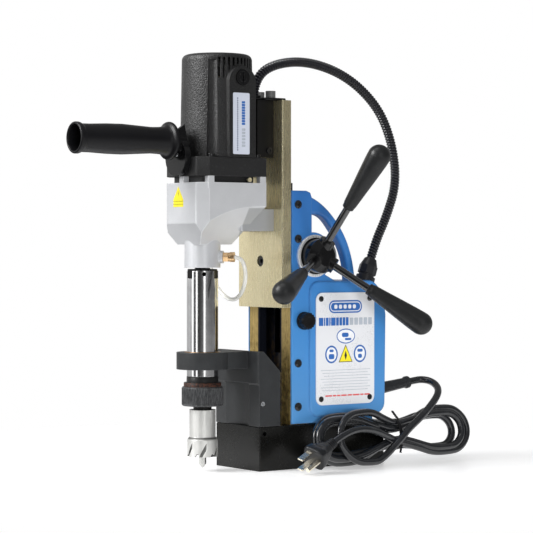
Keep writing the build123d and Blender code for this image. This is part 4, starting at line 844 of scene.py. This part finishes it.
knob_profile = [(62, 4.05), (62, 5.6), (62.6, 6.2), (65.4, 6.3), (66, 6.7), (68, 7.0), (84, 8.4),
                (100, 9.9), (115, 11.2), (123, 11.8), (ball_at, knob_ball)]
knob_profile += [(ball_at + knob_ball * sin(radians(t)), knob_ball * cos(radians(t)))
                 for t in range(6, 90, 6)]
knob_profile.append((139.98, 0.2))
for number, angle in enumerate(spoke_angles, 1):
    knob = link(f"knob_{number}", lathe(f"knob_{number}", spoke_origin * MM, spoke_direction(angle),
                                        knob_profile, 56, angle=40), "capstan", "knob_plastic")
    if number == 1:
        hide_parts("spoke_knobs")

# ---- collar ----------------------------------------------------------------------------------
spindle_base = Vector((0, spindle_y, 0)) * MM
knurl_low, knurl_high, knurl_rows = 69.0, 87.0, 44
knurl_ridges, knurl_depth, knurl_margin, knurl_fade = 84, 0.60, 0.4, 0.8


def knurl(along, turn):
    """Straight knurl between the collar's chamfers, as a change of radius."""
    rise = (along - knurl_low - knurl_margin) / knurl_fade
    fall = (knurl_high - knurl_margin - along) / knurl_fade
    band = min(1, max(0, rise)) * min(1, max(0, fall))
    ridge = turn / (2 * pi) * knurl_ridges
    wave = abs(2 * (ridge - math.floor(ridge + 0.5)))
    return -knurl_depth * band * (1 - wave)


collar_rows = [(68.0, 9.8), (68.0, 20.2), (68.4, 20.9), (knurl_low, 21.3)]
collar_rows += [(knurl_low + (knurl_high - knurl_low) * i / knurl_rows, 21.6) for i in range(1, knurl_rows)]
collar_rows += [(knurl_high, 21.3), (87.6, 20.8), (88.0, 20.2), (88.0, 19.5), (91.9, 19.4), (92.4, 18.9),
                (92.5, 16.6), (98.2, 16.5), (98.6, 16.1), (98.6, 9.8)]
collar = link("collar_knurled", lathe("collar_knurled", spindle_base, Z, collar_rows, 6 * knurl_ridges, knurl,
                                      angle=60), "spindle", "collar_steel")
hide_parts("cutter_collar")


# ---- printed marks and small fittings, in millimetres ----------------------------------------
def printed(name, outlines, origin, u, v, rise, material, body):
    """Thin print on a face: closed outlines along u and v, standing rise off the face."""
    sunk = -0.05
    normal = u.cross(v).normalized()
    build = bmesh.new()
    for outline in outlines:
        foot, top = ([build.verts.new((origin + u * x + v * y + normal * h) * MM) for x, y in outline]
                     for h in (sunk, rise))
        build.faces.new(top)
        build.faces.new(foot[::-1])
        for i, here in enumerate(foot):
            j = (i + 1) % len(foot)
            build.faces.new((here, foot[j], top[j], top[i]))
    bmesh.ops.recalc_face_normals(build, faces=build.faces)
    mesh = bpy.data.meshes.new(name)
    build.to_mesh(mesh)
    build.free()
    return link(name, mesh, body, material)


def bar(low_u, low_v, high_u, high_v, corner=0.3):
    """Rounded rectangle between two corners."""
    corner = min(corner, (high_u - low_u) / 2, (high_v - low_v) / 2)
    steps = 4
    outline = []
    for cu, cv, first in ((high_u - corner, high_v - corner, 0), (low_u + corner, high_v - corner, 90),
                          (low_u + corner, low_v + corner, 180), (high_u - corner, low_v + corner, 270)):
        for step in range(steps + 1):
            angle = radians(first + 90 * step / steps)
            outline.append((cu + corner * cos(angle), cv + corner * sin(angle)))
    return outline


def oval(centre_u, centre_v, half_u, half_v):
    count = 40
    return [(centre_u + half_u * cos(2 * pi * i / count), centre_v + half_v * sin(2 * pi * i / count))
            for i in range(count)]


def word_blocks(low_u, low_v, high_u, high_v, widths, gap):
    """Row of plain blocks that stands in for a line of print."""
    room_left = high_u - low_u - gap * (len(widths) - 1)
    outlines, at = [], low_u
    for width in widths:
        size = room_left * width / sum(widths)
        outlines.append(bar(at, low_v, at + size, high_v, 0.6))
        at += size + gap
    return outlines


plate_origin = Vector((43.7, 27, 124.8))  # centre of the label plate's face
plate_marks = {
    "plate_blue": ("print_blue", 0.06, [
        bar(-22.2, 37.6, 22.2, 51.2, 6.4),
        *word_blocks(-35.5, 24.4, 4.0, 33.0, (5, 1.5, 3, 1.5, 5, 3, 3, 3, 3), 0.8),
        oval(0.4, 13.0, 12.4, 8.0), oval(-18.8, -6.0, 8.4, 9.4), oval(19.4, -6.0, 8.4, 9.4)]),
    "plate_white": ("print_white", 0.11, [
        bar(-20.6, 39.2, 20.6, 49.6, 5.0), oval(0.4, 13.0, 11.3, 6.9), oval(-18.8, -6.0, 6.6, 7.6),
        oval(19.4, -6.0, 6.6, 7.6)]),
    "plate_blue_upper": ("print_blue", 0.16, [
        bar(-19.6, 40.2, 19.6, 48.6, 4.0), bar(-5.0, 12.0, 4.0, 16.6, 2.0), bar(-1.0, 8.6, 7.6, 11.0, 1.2),
        bar(-22.4, -11.0, -15.2, -5.6, 1.6), bar(-21.6, -3.6, -16.0, -0.8, 1.4),
        bar(15.8, -4.2, 23.0, -1.0, 1.4), bar(16.8, -10.8, 22.0, -6.4, 1.6)]),
    "plate_pale_bars": ("print_white", 0.21, [
        bar(-15.2 + 6.2 * i, 42.2, -11.0 + 6.2 * i, 46.6, 1.6) for i in range(5)]),
    "plate_grey": ("print_grey", 0.06, [
        *word_blocks(5.6, 24.8, 35.5, 32.4, (3, 3, 3, 3, 3), 1.4),
        *(bar(-33.0 + 2.2 * (row % 3), -23.0 - 3.05 * row, 33.5 - 3.4 * (row % 2), -22.5 - 3.05 * row, 0.2)
          for row in range(8))]),
    "plate_triangle_edge": ("print_ink", 0.06, [[(-9.2, -14.6), (9.4, -14.6), (0.1, 4.2)]]),
    "plate_triangle": ("print_yellow", 0.11, [[(-8.1, -13.9), (8.3, -13.9), (0.1, 2.6)]]),
    "plate_diamond": ("print_ink", 0.16, [[(-1.6, -7.6), (0.1, -12.4), (1.8, -7.6), (0.1, -2.6)]]),
    "plate_red": ("print_red", 0.06, word_blocks(-27.0, -50.6, 33.0, -49.0, (6, 3, 3, 5, 4, 6, 3, 5), 1.0)),
}
for name, (ink, rise, outlines) in plate_marks.items():
    printed(name, outlines, plate_origin, Y, Z, rise, ink, "frame")

label_origin = Vector((41.0, -105.9, 359))  # centre of the motor label's face
printed("label_name", [bar(0.4, 9.6 - 2.75 * i, 4.6, 11.9 - 2.75 * i, 0.5) for i in range(-4, 5)],
        label_origin, Y, Z, 0.06, "print_blue", "carriage")
printed("label_model", [bar(0.6, -7.4 - 3.3 * i, 4.8, -5.0 - 3.3 * i, 0.5) for i in range(6)],
        label_origin, Y, Z, 0.06, "print_grey", "carriage")
printed("label_line", [bar(-5.4, 25.0 - 2.3 * i, -4.0, 26.5 - 2.3 * i, 0.2) for i in range(24)],
        label_origin, Y, Z, 0.06, "print_slate", "carriage")

sticker_origin = Vector((-5.2, -153, 281))
printed("sticker_triangle", [[(-9.4, 0.2), (9.4, 0.2), (0, 13.6)], bar(-9.4, -7.4, 9.4, 0.2, 0.3)],
        sticker_origin, X, Z, 0.06, "print_yellow", "carriage")
printed("sticker_ink", [bar(-9.4, -1.9, 9.4, -1.2, 0.2), bar(-9.0, -5.0, 9.0, -4.3, 0.2),
                        [(-0.9, 6.4), (0, 3.2), (0.9, 6.4), (0, 9.6)]],
        sticker_origin, X, Z, 0.11, "print_olive", "carriage")

vent_profile = [(0, 0.4), (0, 1.5), (2.4, 1.5), (2.4, 2.3), (5.0, 2.3), (5.0, 1.2), (4.2, 1.1), (4.2, 0.1)]
vent_screw = lathe("vent_screw", Vector((32, -92.0, 301.7)) * MM, X, eased(vent_profile, 0.25), 28)
link("vent_screw", vent_screw, "carriage", "pale_brass")
mount_profile = [(0, 0.4), (0, 2.3), (1.2, 2.3), (1.6, 1.7), (1.6, 1.0), (0.7, 0.9), (0.7, 0.1)]
mount_screw = lathe("mount_screw", Vector((3.3, -159.8, 327.2)) * MM, -Y, eased(mount_profile, 0.3), 28)
link("mount_screw", mount_screw, "carriage", "bright_steel")
